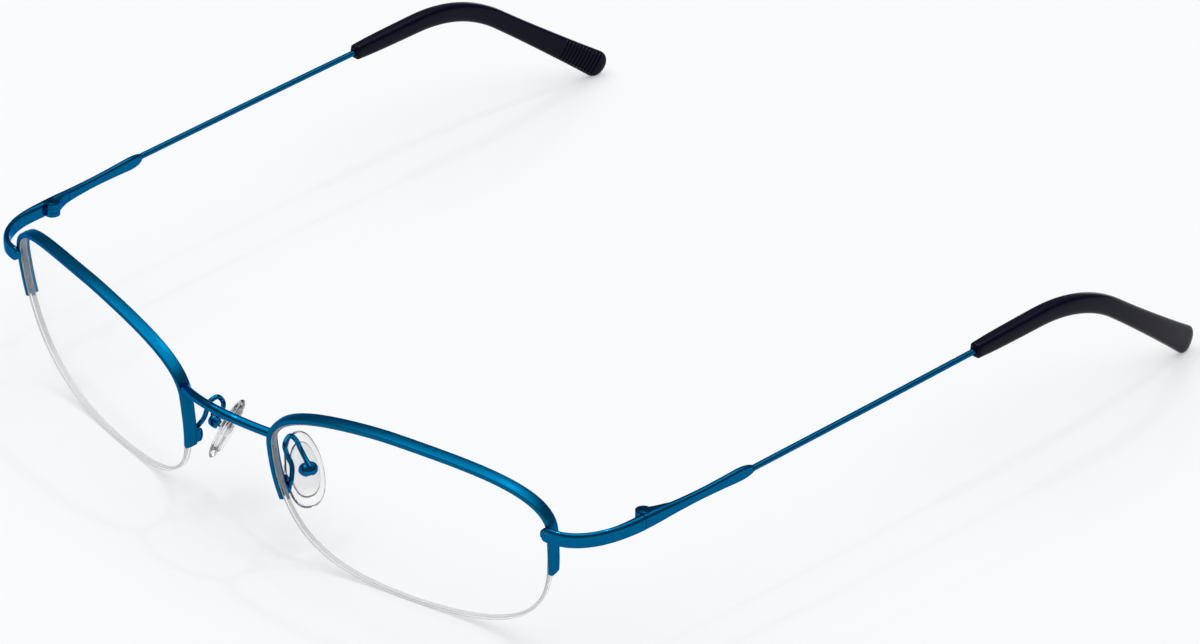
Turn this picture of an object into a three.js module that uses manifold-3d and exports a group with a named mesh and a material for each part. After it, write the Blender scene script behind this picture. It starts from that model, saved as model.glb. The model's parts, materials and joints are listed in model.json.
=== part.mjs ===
// Half-rim metal eyeglasses, standing as they do on a table: +Z up, the front faces -Y,
// X = 0 is the wearer's middle plane. The wearer's left side is +X. Millimetres and degrees.
import * as THREE from 'three';
import { mergeVertices } from 'three/addons/utils/BufferGeometryUtils.js';
import Module from 'manifold-3d';

const wasm = await Module();
wasm.setup();

// ---------------------------------------------------------------- driving dimensions

const seat = 0.04;          // gap where pieces are soldered, glued or pressed together
const running = 0.06;       // gap where pieces move on each other

// lenses: one lens is drawn in its own plane, u towards the temple and v up
const lensWidth = 50;
const lensHeight = 30.3;
const lensEdge = 1.4;       // thickness, the same all over
const lensCurve = 148;      // radius of the front surface
const lensGap = 20;         // between the two lenses at the nose
const wrapAngle = 11.4;     // each lens turns back towards its temple
const tiltAngle = 7.4;      // the top of each lens leans forward
const lensBevel = 0.12;
const grooveWidth = 0.66;
const grooveDepth = 0.52;

// the metal rim over the top of each lens, a U channel that opens towards the lens
const rimThickness = 0.8;
const rimDepth = 1.8;
const rimProud = 0.12;      // rim in front of the lens surface
const channelDepth = 0.44;
const rimRound = 0.18;
const rimCrown = 0.07;
const rimStart = -0.19;     // where the rim ends, in quarters of the outline
const rimEnd = 2.21;
const cordDiameter = 0.5;   // nylon cord round the lower edge
const cordTuck = 0.2;       // length of cord hidden in the rim at each end, in quarters

const bridgeDiameter = 1.5;
const bridgeForward = 2.5;  // how far the bridge arches forward of its ends
const bridgeRise = 1.25;

// end pieces, from the rim out and back to the hinges
const endPieceReach = 7.15; // outwards, from the rim to the hinge axis
const endPieceRun = 13.15;  // backwards
const endPieceRise = 0.45;
const endPieceHeight = 2.3;
const endPieceThin = 1.05;
const buttThickness = 1.5;  // both bars at the seam
const endPieceFront = 5.6;  // length of the bend's pull at the rim and at the seam
const endPieceBack = 8;
const splayAngle = 2.4;     // the temples open outwards

// hinges
const knuckleRadius = 1.25;
const barrelHeight = 2.2;
const middleKnuckle = 0.7;
const seamAhead = 1.1;      // seam in front of the hinge axis
const outerFace = 1.8;      // flat outer face of the bars, outboard of the hinge axis
const screwDiameter = 0.8;
const screwHead = 1.5;
const screwHeadHeight = 0.25;
const tongueLength = 2.2;

// temples: bar, wire and tip, by distance back from the hinge axis
const barLength = 22.3;
const barRounding = 3.3;    // length of the bar's rounded back end
const wireDiameter = 1.0;
const wireSocket = 2.5;
const tipStart = 69;
const bendAt = 93.7;
const bendRadius = 31;
const dropAngle = 36.3;
const templeRise = 0.87;
const templeBow = 0.9;      // the wire bows outwards
const tipCurl = 2.7;        // the tips curve in behind the ears
const coreInTip = 36;       // wire held inside the tip

// nose pads
const padLength = 12.8;
const padWidth = 6.8;
const padThickness = 2.0;
const boxLength = 2.9;
const boxWidth = 1.5;
const boxHeight = 1.9;
const lugThickness = 0.9;
const boxMouth = 0.7;       // the box's open face, from the screw towards the nose
const padScrewDiameter = 0.7;
const lugRadius = 0.62;
const lugHeight = 1.1;
const coreWidth = 4.2;      // the plate inside the pad
const coreLength = 8;
const coreThickness = 0.5;
const armWireDiameter = 0.8;

const radians = THREE.MathUtils.degToRad;
const v2 = (x, y) => new THREE.Vector2(x, y);
const v3 = (x, y, z) => new THREE.Vector3(x, y, z);

// ---------------------------------------------------------------- finishes

function finish(color, roughness, metalness) {
  return new THREE.MeshStandardMaterial({ color, roughness, metalness });
}
const blueMetal = finish(0x005078, 0.25, 0.9);
const steel = finish(0x9aa0a6, 0.3, 1);
const clearLens = finish(0xf4f8fa, 0.05, 0);
const clearNylon = finish(0xd5dadd, 0.35, 0);
const clearSilicone = finish(0xe6e9ea, 0.25, 0);
const darkTip = finish(0x17172a, 0.25, 0);

// ---------------------------------------------------------------- solids

function welded(geometry) {
  const bare = geometry.index ? geometry.toNonIndexed() : geometry.clone();
  bare.deleteAttribute('normal');
  bare.deleteAttribute('uv');
  return mergeVertices(bare, 1e-4);
}

function solid(geometry) {
  const merged = welded(geometry);
  const vertProperties = new Float32Array(merged.attributes.position.array);
  const triVerts = new Uint32Array(merged.index.array);
  return new wasm.Manifold(new wasm.Mesh({ numProp: 3, vertProperties, triVerts }));
}

// Cuts leave facets thinner than this; they are closed up, since no tool can use them.
const sliver = 0.002;

function geometryOf(manifold) {
  const mesh = manifold.asOriginal().simplify(sliver).getMesh();
  const geometry = new THREE.BufferGeometry();
  geometry.setAttribute('position', new THREE.BufferAttribute(mesh.vertProperties, 3));
  geometry.setIndex(new THREE.BufferAttribute(mesh.triVerts, 1));
  return geometry;
}

// A skin over rings of equal count, closed by flat caps.
function loft(rings) {
  const count = rings[0].length;
  const positions = rings.flat().flatMap((p) => [p.x, p.y, p.z]);
  const index = [];
  const last = (rings.length - 1) * count;
  for (let here = 0; here < last; here += count) {
    const next = here + count;
    for (let j = 0; j < count; j++) {
      const k = (j + 1) % count;
      index.push(here + j, here + k, next + k, here + j, next + k, next + j);
    }
  }
  const faces = capFaces(rings[0]);
  for (const [a, b, c] of faces) index.push(a, c, b);
  for (const [a, b, c] of faces) index.push(last + a, last + b, last + c);
  const geometry = new THREE.BufferGeometry();
  geometry.setAttribute('position', new THREE.Float32BufferAttribute(positions, 3));
  geometry.setIndex(index);
  return outward(geometry);
}

// Triangles across one flat ring, wound as the ring runs.
function capFaces(ring) {
  const normal = v3(0, 0, 0);
  ring.forEach((p, i) => normal.add(p.clone().cross(ring[(i + 1) % ring.length])));
  const toFlat = new THREE.Quaternion().setFromUnitVectors(normal.normalize(), v3(0, 0, 1));
  const flat = ring.map((p) => p.clone().applyQuaternion(toFlat));
  return THREE.ShapeUtils.triangulateShape(flat.map((p) => v2(p.x, p.y)), []);
}

function signedVolume(geometry) {
  const p = geometry.attributes.position;
  const index = geometry.index;
  const [a, b, c] = [v3(0, 0, 0), v3(0, 0, 0), v3(0, 0, 0)];
  let volume = 0;
  for (let i = 0; i < index.count; i += 3) {
    a.fromBufferAttribute(p, index.getX(i));
    b.fromBufferAttribute(p, index.getX(i + 1));
    c.fromBufferAttribute(p, index.getX(i + 2));
    volume += a.dot(b.cross(c)) / 6;
  }
  return volume;
}

function flipped(geometry) {
  const index = geometry.index.array.slice();
  for (let i = 0; i < index.length; i += 3) {
    [index[i + 1], index[i + 2]] = [index[i + 2], index[i + 1]];
  }
  geometry.setIndex(new THREE.BufferAttribute(index, 1));
  return geometry;
}

function outward(geometry) {
  return signedVolume(geometry) < 0 ? flipped(geometry) : geometry;
}

// The same piece for the wearer's other side.
function mirrored(geometry) {
  return flipped(welded(geometry).scale(-1, 1, 1));
}

function moved(geometry, object) {
  return geometry.clone().applyMatrix4(object.matrixWorld);
}

// A round bar or wire along a curve.
function rod(curve, diameter, steps, sides = 10) {
  const section = new THREE.Shape();
  section.absarc(0, 0, diameter / 2, 0, 2 * Math.PI);
  return new THREE.ExtrudeGeometry(section, { steps, curveSegments: sides / 2, extrudePath: curve });
}

class PathPiece extends THREE.Curve {
  constructor(path, from, to) {
    super();
    this.path = path;
    this.from = from;
    this.to = to;
  }

  getPoint(t) {
    return this.path(this.from + (this.to - this.from) * t);
  }
}

// An upright cylinder from z low to z high.
function post(radius, low, high, x = 0, y = 0, segments = 20) {
  const cylinder = new THREE.CylinderGeometry(radius, radius, high - low, segments);
  return cylinder.rotateX(Math.PI / 2).translate(x, y, (low + high) / 2);
}

function slab(points, low, high) {
  const shape = new THREE.Shape(points);
  const plate = new THREE.ExtrudeGeometry(shape, { depth: high - low, bevelEnabled: false });
  return plate.translate(0, 0, low);
}

// ---------------------------------------------------------------- the assembly's groups

const glasses = new THREE.Group();
const groups = {};
for (const side of ['l', 'r']) {
  const eye = new THREE.Group();
  const hinge = new THREE.Group();
  const pad = new THREE.Group();
  glasses.add(eye, hinge, pad);
  groups[side] = { front: glasses, eye, hinge, pad };
}
const sign = { l: 1, r: -1 };

function addPair(place, name, geometry, material) {
  for (const side of ['l', 'r']) {
    const mesh = new THREE.Mesh(side === 'l' ? geometry : mirrored(geometry), material);
    mesh.name = `${name}_${side}`;
    groups[side][place].add(mesh);
  }
}

// ---------------------------------------------------------------- lens outline

// Four quarter curves: temple, top, nose, bottom and back to the temple, anticlockwise.
// Each quarter ends level or upright, so the outline is smooth where two quarters meet.
const pole = v2(-1.6, 3.0);  // the pole of the lens curve, from the middle of the box
const extremes = [
  v2(lensWidth / 2, 0.21 * lensHeight),
  v2(-0.03 * lensWidth, lensHeight / 2),
  v2(-lensWidth / 2, 0.178 * lensHeight),
  v2(-0.019 * lensWidth, -lensHeight / 2),
].map((p) => p.sub(pole));
const fullness = [[0.39, 0.9], [0.15, 0.86], [0.92, 0.61], [0.88, 0.67]];
const quarters = extremes.map((start, i) => {
  const end = extremes[(i + 1) % 4];
  const [leave, arrive] = fullness[i];
  const upright = i % 2 === 0;
  const corner = upright ? v2(start.x, end.y) : v2(end.x, start.y);
  const first = start.clone().lerp(corner, leave);
  const second = end.clone().lerp(corner, arrive);
  return new THREE.CubicBezierCurve(start, first, second, end);
});

function edge(t) {
  const turn = ((t % 4) + 4) % 4;
  const quarter = quarters[Math.floor(turn)];
  const point = quarter.getPoint(turn % 1);
  const along = quarter.getTangent(turn % 1);
  return { point, out: v2(along.y, -along.x) };
}

// A point of the lens or rim: a is outwards from the lens edge, b backwards from its front.
function eyePoint(t, a, b) {
  const { point, out } = edge(t);
  const sag = point.lengthSq() / (2 * lensCurve);
  return v3(point.x + a * out.x, point.y + a * out.y, -sag - b);
}

// Stations once round the outline, closer together where it turns more.
function evenTurns(count) {
  const fine = 800;
  const straightStep = 7;      // millimetres of straight edge that count as much as stepTurn
  const stepTurn = radians(9);
  const weights = [0];
  for (let i = 0; i < fine; i++) {
    const here = edge((4 * i) / fine);
    const next = edge((4 * (i + 1)) / fine);
    const length = here.point.distanceTo(next.point);
    weights.push(weights[i] + length / straightStep + here.out.angleTo(next.out) / stepTurn);
  }
  return Array.from({ length: count }, (_, k) => {
    const wanted = (k * weights[fine]) / count;
    return (4 * weights.findIndex((weight) => weight >= wanted)) / fine;
  });
}
const turns = evenTurns(52);

function stations(from, to) {
  const apart = 0.02;
  const around = [-1, 0, 1].flatMap((lap) => turns.map((t) => t + 4 * lap));
  return [from, ...around.filter((t) => t > from + apart && t < to - apart), to];
}

function alongEdge(profile, from, to) {
  return loft(stations(from, to).map((t) => profile.map(([a, b]) => eyePoint(t, a, b))));
}

// ---------------------------------------------------------------- lens, rim, liner and cord

const grooveMiddle = lensEdge / 2;

function makeLens() {
  const low = grooveMiddle - grooveWidth / 2;
  const high = grooveMiddle + grooveWidth / 2;
  const turned = [
    [-lensBevel, 0], [0, lensBevel], [0, low], [-grooveDepth, low],
    [-grooveDepth, high], [0, high], [0, lensEdge - lensBevel], [-lensBevel, lensEdge],
  ];
  const zones = [0.06, 0.55];
  const rings = turns.map((t) => {
    const inner = (share, b) => {
      const p = edge(t).point.clone().multiplyScalar(share);
      return v3(p.x, p.y, -p.lengthSq() / (2 * lensCurve) - b);
    };
    const front = zones.map((share) => inner(share, 0));
    const back = zones.map((share) => inner(share, lensEdge)).reverse();
    return [...front, ...turned.map(([a, b]) => eyePoint(t, a, b)), ...back];
  });
  // the skin runs from the front's middle over the edge to the back's; two caps close it
  const columns = rings[0].map((_, j) => rings.map((ring) => ring[j]));
  return loft(columns);
}

function rimProfile() {
  const inner = seat;
  const outer = seat + rimThickness;
  const front = -rimProud;
  const back = rimDepth - rimProud;
  const middle = (front + back) / 2;
  const low = grooveMiddle - grooveWidth / 2;
  const high = grooveMiddle + grooveWidth / 2;
  return [
    [inner, low], [inner, front], [outer - rimRound, front], [outer, front + rimRound],
    [outer + rimCrown, middle], [outer, back - rimRound], [outer - rimRound, back],
    [inner, back], [inner, high], [inner + channelDepth, high], [inner + channelDepth, low],
  ];
}

// The room that the rim takes, grown by the seat: what is soldered to it is cut back to this.
function rimRoom() {
  const front = -rimProud - seat;
  const back = rimDepth - rimProud + seat;
  const outer = seat + rimThickness + seat;
  const profile = [
    [-2, front], [outer - rimRound, front], [outer, front + rimRound],
    [outer + rimCrown, (front + back) / 2], [outer, back - rimRound],
    [outer - rimRound, back], [-2, back],
  ];
  return alongEdge(profile, rimStart - 0.02, rimEnd + 0.02);
}

function makeLiner() {
  const half = grooveWidth / 2 - seat;
  const deep = -grooveDepth + seat;
  const top = channelDepth;
  const soft = 0.1;
  const profile = [
    [deep, grooveMiddle - half + soft], [deep + soft, grooveMiddle - half],
    [top - soft, grooveMiddle - half], [top, grooveMiddle - half + soft],
    [top, grooveMiddle + half - soft], [top - soft, grooveMiddle + half],
    [deep + soft, grooveMiddle + half], [deep, grooveMiddle + half - soft],
  ];
  return alongEdge(profile, rimStart + cordTuck + 0.03, rimEnd - cordTuck - 0.03);
}

// The cord lies in the lens groove and rises into the rim's channel at both ends.
function makeCord() {
  const from = rimEnd - cordTuck;
  const to = 4 + rimStart + cordTuck;
  const radius = cordDiameter / 2;
  const lying = -grooveDepth + seat + radius;
  const risen = seat + channelDepth - seat - radius;
  const rise = (t) => {
    const inside = Math.max(rimEnd - t, t - 4 - rimStart, 0) / cordTuck;
    return lying + (risen - lying) * THREE.MathUtils.smoothstep(inside, 0, 0.7);
  };
  const sides = 8;
  const rings = stations(from, to).map((t) => Array.from({ length: sides }, (_, i) => {
    const turn = (2 * Math.PI * i) / sides;
    return eyePoint(t, rise(t) + radius * Math.cos(turn), grooveMiddle + radius * Math.sin(turn));
  }));
  return loft(rings);
}

// Both eyes turn by wrap and tilt; the lens bottoms stand on z = 0.
const lensGeometry = makeLens();
for (const side of ['l', 'r']) {
  const eye = groups[side].eye;
  eye.rotation.set(Math.PI / 2 + radians(tiltAngle), 0, sign[side] * radians(wrapAngle), 'ZXY');
}
groups.l.eye.updateMatrixWorld();
const lensBox = new THREE.Box3().setFromBufferAttribute(
  moved(lensGeometry, groups.l.eye).attributes.position,
);
for (const side of ['l', 'r']) {
  groups[side].eye.position.set(sign[side] * (lensGap / 2 - lensBox.min.x), 0, -lensBox.min.z);
  groups[side].eye.updateMatrixWorld();
}
const eyeToPart = groups.l.eye.matrixWorld;
const onEye = (t, a, b) => eyePoint(t, a, b).applyMatrix4(eyeToPart);
const leftRimRoom = rimRoom().applyMatrix4(eyeToPart);

addPair('eye', 'lens', lensGeometry, clearLens);
addPair('eye', 'rim', alongEdge(rimProfile(), rimStart, rimEnd), blueMetal);
addPair('eye', 'rim_liner', makeLiner(), clearNylon);
addPair('eye', 'lens_cord', makeCord(), clearNylon);

// ---------------------------------------------------------------- bridge

function makeBridge() {
  const foot = onEye(1.94, seat + rimThickness / 2, rimDepth / 2 - rimProud);
  const across = (t) => {
    const x = foot.x * t;
    const arch = 1 - t * t;
    return v3(x, foot.y - bridgeForward * arch, foot.z + bridgeRise * arch);
  };
  const bar = solid(rod(new PathPiece(across, -1, 1), bridgeDiameter, 16));
  return geometryOf(bar.subtract(solid(leftRimRoom)).subtract(solid(mirrored(leftRimRoom))));
}
const bridge = new THREE.Mesh(makeBridge(), blueMetal);
bridge.name = 'bridge';
glasses.add(bridge);

// ---------------------------------------------------------------- end pieces

// The bars have a flat outer face, a flat inner face and a rounded top.
function barSection(height, thickness) {
  const low = -height / 2;
  const flat = low + 0.55 * height;
  const soft = 0.14;
  const points = [[-soft, low], [0, low + soft], [0, flat]];
  const steps = 6;
  for (let i = 1; i < steps; i++) {
    const turn = (Math.PI * i) / steps;
    const across = (thickness / 2) * (Math.cos(turn) - 1);
    points.push([across, flat + (height / 2 - flat) * Math.sin(turn)]);
  }
  return [...points, [-thickness, flat], [-thickness, low + soft], [-thickness + soft, low]];
}

// One ring of a bar: x runs outwards from the outer face, z up, across a plan direction.
function barRing(outer, direction, section) {
  const out = v3(direction.y, -direction.x, 0);
  return section.map(([x, z]) => outer.clone().addScaledVector(out, x).add(v3(0, 0, z)));
}

const lap = onEye(0.03, 0, -rimProud);
const hingeAxis = v3(lap.x + endPieceReach, lap.y + endPieceRun, lap.z + endPieceRise);
const templeWay = v2(Math.sin(radians(splayAngle)), Math.cos(radians(splayAngle)));
const templeOut = v2(templeWay.y, -templeWay.x);
const seamOuter = v3(
  outerFace * templeOut.x - seamAhead * templeWay.x,
  outerFace * templeOut.y - seamAhead * templeWay.y,
  0,
);

function makeEndPiece() {
  const end = seamOuter.clone().sub(v3(templeWay.x, templeWay.y, 0).multiplyScalar(running));
  const start = lap.clone().sub(hingeAxis).add(v3(-0.1, -endPieceThin + 0.1, -0.05));
  const plan = new THREE.CubicBezierCurve3(
    start,
    start.clone().add(v3(endPieceFront, 0, 0.1)),
    end.clone().sub(v3(templeWay.x, templeWay.y, 0).multiplyScalar(endPieceBack)),
    end,
  );
  const shares = [0, 0.015, 0.045];
  for (let i = 1; i <= 14; i++) shares.push(0.08 + (0.92 * i) / 14);
  const rings = shares.map((share) => {
    const along = plan.getTangentAt(share);
    const round = Math.min(1, 0.55 + 10 * share);
    const grown = THREE.MathUtils.smoothstep(share, 0.6, 1);
    const thickness = endPieceThin + (buttThickness - endPieceThin) * grown;
    const way = v2(along.x, along.y).normalize();
    return barRing(plan.getPointAt(share), way, barSection(endPieceHeight * round, thickness));
  });
  const bar = solid(loft(rings));
  const rimAtHinge = leftRimRoom.clone().translate(-hingeAxis.x, -hingeAxis.y, -hingeAxis.z);
  const relief = post(knuckleRadius + running, -endPieceHeight, endPieceHeight);
  return geometryOf(bar.subtract(solid(rimAtHinge)).subtract(solid(relief))
    .subtract(solid(makeTongue(seat))));
}

// ---------------------------------------------------------------- hinges

// The hinge's own frame: x outwards, y backwards along the temple, on the hinge axis.
function turnToTemple(geometry) {
  return geometry.rotateZ(-radians(splayAngle));
}

// The leaf's tongue: it crosses the seam beside the axis and widens inside the end piece.
function makeTongue(grow) {
  const inner = -0.45 - grow;
  const neck = 0.55 + grow;
  const wide = outerFace - 0.5 + grow;
  const mouth = -seamAhead - running - 0.02 + grow;
  const back = -seamAhead - tongueLength - grow;
  const buttInner = outerFace - buttThickness;
  const height = middleKnuckle / 2 + grow;
  const outline = [
    v2(inner, -0.4), v2(inner, -seamAhead - 0.25 - grow),
    v2(buttInner + 0.1 - grow, -seamAhead - 0.25 - grow), v2(buttInner + 0.1 - grow, back),
    v2(wide, back), v2(wide, mouth), v2(neck, mouth), v2(neck, -0.4),
  ];
  return turnToTemple(slab(outline, -height, height));
}

function makeFrontLeaf() {
  const half = middleKnuckle / 2;
  const knuckle = solid(post(knuckleRadius, -half, half));
  const bore = post(screwDiameter / 2 + running, -half - 1, half + 1);
  return geometryOf(knuckle.add(solid(makeTongue(0))).subtract(solid(bore)));
}

// Top and bottom knuckles, joined behind by a plate that fairs into the temple bar.
function makeTempleLeaf() {
  const half = barrelHeight / 2;
  const gap = middleKnuckle / 2 + running;
  const inner = outerFace - buttThickness;
  const plate = turnToTemple(slab([
    v2(-knuckleRadius + 0.02, 0), v2(-knuckleRadius + 0.1, 0.9), v2(-0.75, 1.8),
    v2(-0.25, 3.1), v2(inner + 0.15, 5.1), v2(inner + 0.45, 5.1), v2(inner + 0.45, 0),
  ].reverse(), -half, half));
  const room = solid(makeBar()).add(solid(barGrown()));
  const knuckles = solid(post(knuckleRadius, -half, half)).add(solid(plate).subtract(room));
  const slot = post(knuckleRadius + running, -gap, gap);
  const bore = post(screwDiameter / 2 + seat, -half - 1, half + 1);
  const sink = post(screwHead / 2 + seat, half - screwHeadHeight - seat, half + 1);
  return geometryOf(knuckles.subtract(solid(slot)).subtract(solid(bore)).subtract(solid(sink)));
}

function makeHingeScrew() {
  const top = barrelHeight / 2 - 0.02;
  const bottom = -barrelHeight / 2 + 0.02;
  const neck = top - screwHeadHeight;
  const profile = [
    v2(0, bottom), v2(screwDiameter / 2 - 0.1, bottom), v2(screwDiameter / 2, bottom + 0.1),
    v2(screwDiameter / 2, neck), v2(screwHead / 2, neck), v2(screwHead / 2, top - 0.08),
    v2(screwHead / 2 - 0.12, top), v2(0, top),
  ];
  return new THREE.LatheGeometry(profile, 20).rotateX(Math.PI / 2);
}

// ---------------------------------------------------------------- temples

const barStart = -seamAhead + running;
const barStraight = barLength - barRounding;
const barStations = [
  // share of the way to the rounded end, height, thickness
  [0, endPieceHeight, buttThickness], [0.16, 2.15, 1.45], [0.34, 1.75, 1.2],
  [0.58, 1.55, 1.08], [0.82, 1.75, 1.08], [1, 2.05, 1.12],
];
const barEnd = [0.35, 0.62, 0.82, 0.94, 1];  // ring shares along the rounded end

function makeBarRings(grow) {
  const line = new THREE.CatmullRomCurve3(
    barStations.map(([share, height, thickness]) => v3(barStraight * share, height, thickness)),
  );
  const rings = [];
  const ringAt = (y, height, thickness) => {
    const back = barStart + y;
    const outer = v3(
      outerFace * templeOut.x + back * templeWay.x + grow * templeOut.x,
      outerFace * templeOut.y + back * templeWay.y + grow * templeOut.y,
      centreZ(back),
    );
    rings.push(barRing(outer, templeWay, barSection(height + 2 * grow, thickness + 2 * grow)));
  };
  for (let i = 0; i <= 12; i++) {
    const p = line.getPoint(i / 12);
    ringAt(p.x, p.y, p.z);
  }
  const [, endHeight, endThickness] = barStations.at(-1);
  for (const share of barEnd) {
    const narrow = Math.sqrt(Math.max(0.12, 1 - (share * 0.97) ** 2.4));
    const height = endHeight * narrow;
    ringAt(barStraight + barRounding * share, height, endThickness * (0.35 + 0.65 * narrow));
  }
  return rings;
}

function barGrown() {
  return loft(makeBarRings(seat));
}

function makeBar() {
  const bar = solid(loft(makeBarRings(0)));
  const cradle = post(knuckleRadius + seat, -barrelHeight, barrelHeight);
  return geometryOf(bar.subtract(solid(cradle)).subtract(solid(wireAlong(seat))));
}

// The temple's centre line, by length s back from the hinge axis: nearly level, an arc over
// the ear, then straight down behind it; sideways it bows out a little and curls in again.
const riseTurn = radians(templeRise);
const bendTurn = radians(templeRise + dropAngle);
const bendReach = bendRadius * Math.tan(bendTurn / 2);
const arcStart = bendAt - bendReach;
const arcLength = bendRadius * bendTurn;

function centreZ(s) {
  return 0.04 + s * Math.tan(riseTurn);
}

function templePlane(s) {
  if (s <= arcStart) return v2(s * Math.cos(riseTurn), centreZ(s * Math.cos(riseTurn)));
  const start = templePlane(arcStart);
  const turned = Math.min(s - arcStart, arcLength) / bendRadius;
  const heading = riseTurn - turned;
  const bent = v2(
    start.x + bendRadius * (Math.sin(riseTurn) - Math.sin(heading)),
    start.y + bendRadius * (Math.cos(heading) - Math.cos(riseTurn)),
  );
  const beyond = Math.max(0, s - arcStart - arcLength);
  return bent.add(v2(Math.cos(heading), Math.sin(heading)).multiplyScalar(beyond));
}

const wireOut = 1.45;  // wire outboard of the hinge axis where it leaves the bar, plus splay
function lateral(y) {
  const leave = wireOut + barLength * Math.sin(radians(splayAngle));
  const out = THREE.MathUtils.clamp((y - barLength) / (bendAt - barLength), -0.3, 1);
  const curlFrom = bendAt - 2;
  const curl = Math.max(0, y - curlFrom) / 30;
  return leave + templeBow * Math.sin((Math.PI / 2) * out) - tipCurl * curl * curl;
}

function templeLine(s) {
  const p = templePlane(s);
  return v3(lateral(p.x), p.x, p.y);
}

// The wire from inside the bar to inside the tip, or grown, the room that it takes in them.
function wireAlong(grow) {
  const from = barLength - wireSocket - grow;
  const core = new PathPiece(templeLine, from, tipStart + coreInTip + grow);
  return rod(core, wireDiameter + 2 * grow, 24, 8);
}

// Height across the tip and its sideways thickness, by length along the tip.
const tipEndHeight = 4.3;
const drop = hingeAxis.z + templePlane(arcStart + arcLength).y;
const dropLength = (drop - 0.97 * (tipEndHeight / 2)) / Math.sin(radians(dropAngle));
const tipEnd = arcStart + arcLength + dropLength;
const tipShape = new THREE.CatmullRomCurve3([
  v3(tipStart, 2.45, 2.05), v3(tipStart + 5, 2.8, 2.3), v3(arcStart, 3.05, 2.4),
  v3(bendAt + 3, 3.1, 2.25), v3(arcStart + arcLength + 6, 3.2, 2.05),
  v3(tipEnd - 7, 3.75, 1.9), v3(tipEnd, tipEndHeight, 1.75),
]);

function tipRing(s, height, thickness, grow = 1) {
  const centre = templeLine(s);
  const along = templeLine(s + 0.05).sub(templeLine(s - 0.05)).normalize();
  const across = along.clone().cross(v3(0, 0, 1)).normalize();
  const up = across.clone().cross(along).normalize();
  const sides = 12;
  return Array.from({ length: sides }, (_, i) => {
    const turn = (2 * Math.PI * (i + 0.5)) / sides;
    const c = Math.cos(turn);
    const n = Math.sin(turn);
    const square = (x) => Math.sign(x) * Math.abs(x) ** 0.8;
    return centre.clone()
      .addScaledVector(across, square(c) * (thickness / 2) * grow)
      .addScaledVector(up, square(n) * (height / 2) * grow);
  });
}

function makeTip() {
  const rings = [tipRing(tipStart, 2.45, 2.05, 0.72), tipRing(tipStart + 0.35, 2.55, 2.15)];
  for (let i = 1; i <= 20; i++) {
    const p = tipShape.getPoint(i / 20);
    rings.push(tipRing(p.x, p.y, p.z));
  }
  const last = tipShape.getPoint(1);
  for (const turn of [25, 45, 62, 77, 88]) {
    const reach = (last.y / 2) * Math.sin(radians(turn));
    const narrow = Math.cos(radians(turn));
    rings.push(tipRing(last.x + reach, last.y * narrow, last.z * Math.sqrt(narrow)));
  }
  return geometryOf(solid(loft(rings)).subtract(solid(wireAlong(seat))));
}

for (const side of ['l', 'r']) {
  groups[side].hinge.position.set(sign[side] * hingeAxis.x, hingeAxis.y, hingeAxis.z);
}
addPair('hinge', 'end_piece', makeEndPiece(), blueMetal);
addPair('hinge', 'hinge_front', makeFrontLeaf(), blueMetal);
addPair('hinge', 'hinge_temple', makeTempleLeaf(), blueMetal);
addPair('hinge', 'hinge_screw', makeHingeScrew(), steel);
addPair('hinge', 'temple_bar', makeBar(), blueMetal);
addPair('hinge', 'temple_wire', wireAlong(0), blueMetal);
addPair('hinge', 'temple_tip', makeTip(), darkTip);

// ---------------------------------------------------------------- nose pads

// The pad's own frame: z along the pad, y along the screw, x out to the box and its arm.
const noseSide = onEye(2, 0, 0);
const boxCentre = noseSide.clone().add(v3(0.05, 7.5, -7.3));
const padLean = v3(-0.354, 0.268, 0.896).normalize();
const screwWay = v3(0.35, 0.94, 0).normalize();
const padOut = screwWay.clone().cross(padLean).normalize();
const padUp = padOut.clone().cross(screwWay).normalize();
const padBasis = new THREE.Matrix4().makeBasis(padOut, screwWay, padUp);
for (const side of ['l', 'r']) {
  const mirror = new THREE.Matrix4().makeScale(sign[side], 1, 1);
  const turned = mirror.clone().multiply(padBasis).multiply(mirror);
  groups[side].pad.quaternion.setFromRotationMatrix(turned);
  groups[side].pad.position.set(sign[side] * boxCentre.x, boxCentre.y, boxCentre.z);
  groups[side].pad.updateMatrixWorld();
}

const padCentreOut = -1.9;   // pad's middle from the screw, towards the nose
const padCentreDown = -0.5;

function padRing(out, scale) {
  const sides = 24;
  return Array.from({ length: sides }, (_, i) => {
    const turn = (2 * Math.PI * i) / sides;
    const wide = 1 - 0.1 * Math.sin(turn);
    const y = Math.sign(Math.cos(turn)) * Math.abs(Math.cos(turn)) ** 0.85 * wide;
    return v3(
      padCentreOut + out,
      (padWidth / 2) * scale * y,
      padCentreDown + (padLength / 2) * scale * Math.sin(turn),
    );
  });
}

// A plate inside the pad and a lug out to the screw; the pad is moulded round it.
function coreShape(grow) {
  const plate = new THREE.Shape();
  plate.absellipse(0, 0, coreWidth / 2 + grow, coreLength / 2 + grow, 0, 2 * Math.PI);
  const depth = coreThickness + 2 * grow;
  const disc = new THREE.ExtrudeGeometry(plate, { depth, bevelEnabled: false, curveSegments: 9 });
  disc.translate(0, 0, -depth / 2).rotateX(Math.PI / 2).rotateZ(Math.PI / 2);
  const lug = new THREE.BoxGeometry(-padCentreOut, lugThickness + 2 * grow, lugHeight + 2 * grow);
  return solid(disc.translate(padCentreOut, 0, padCentreDown))
    .add(solid(lug.translate(padCentreOut / 2, 0, 0)));
}

function screwRoom(gap, length) {
  const radius = padScrewDiameter / 2 + gap;
  return solid(new THREE.CylinderGeometry(radius, radius, length, 16));
}

function makePadCore() {
  const eyeEnd = new THREE.CylinderGeometry(lugRadius, lugRadius, lugThickness, 20);
  return coreShape(0).add(solid(eyeEnd)).subtract(screwRoom(running, 2 * lugThickness));
}

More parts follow.
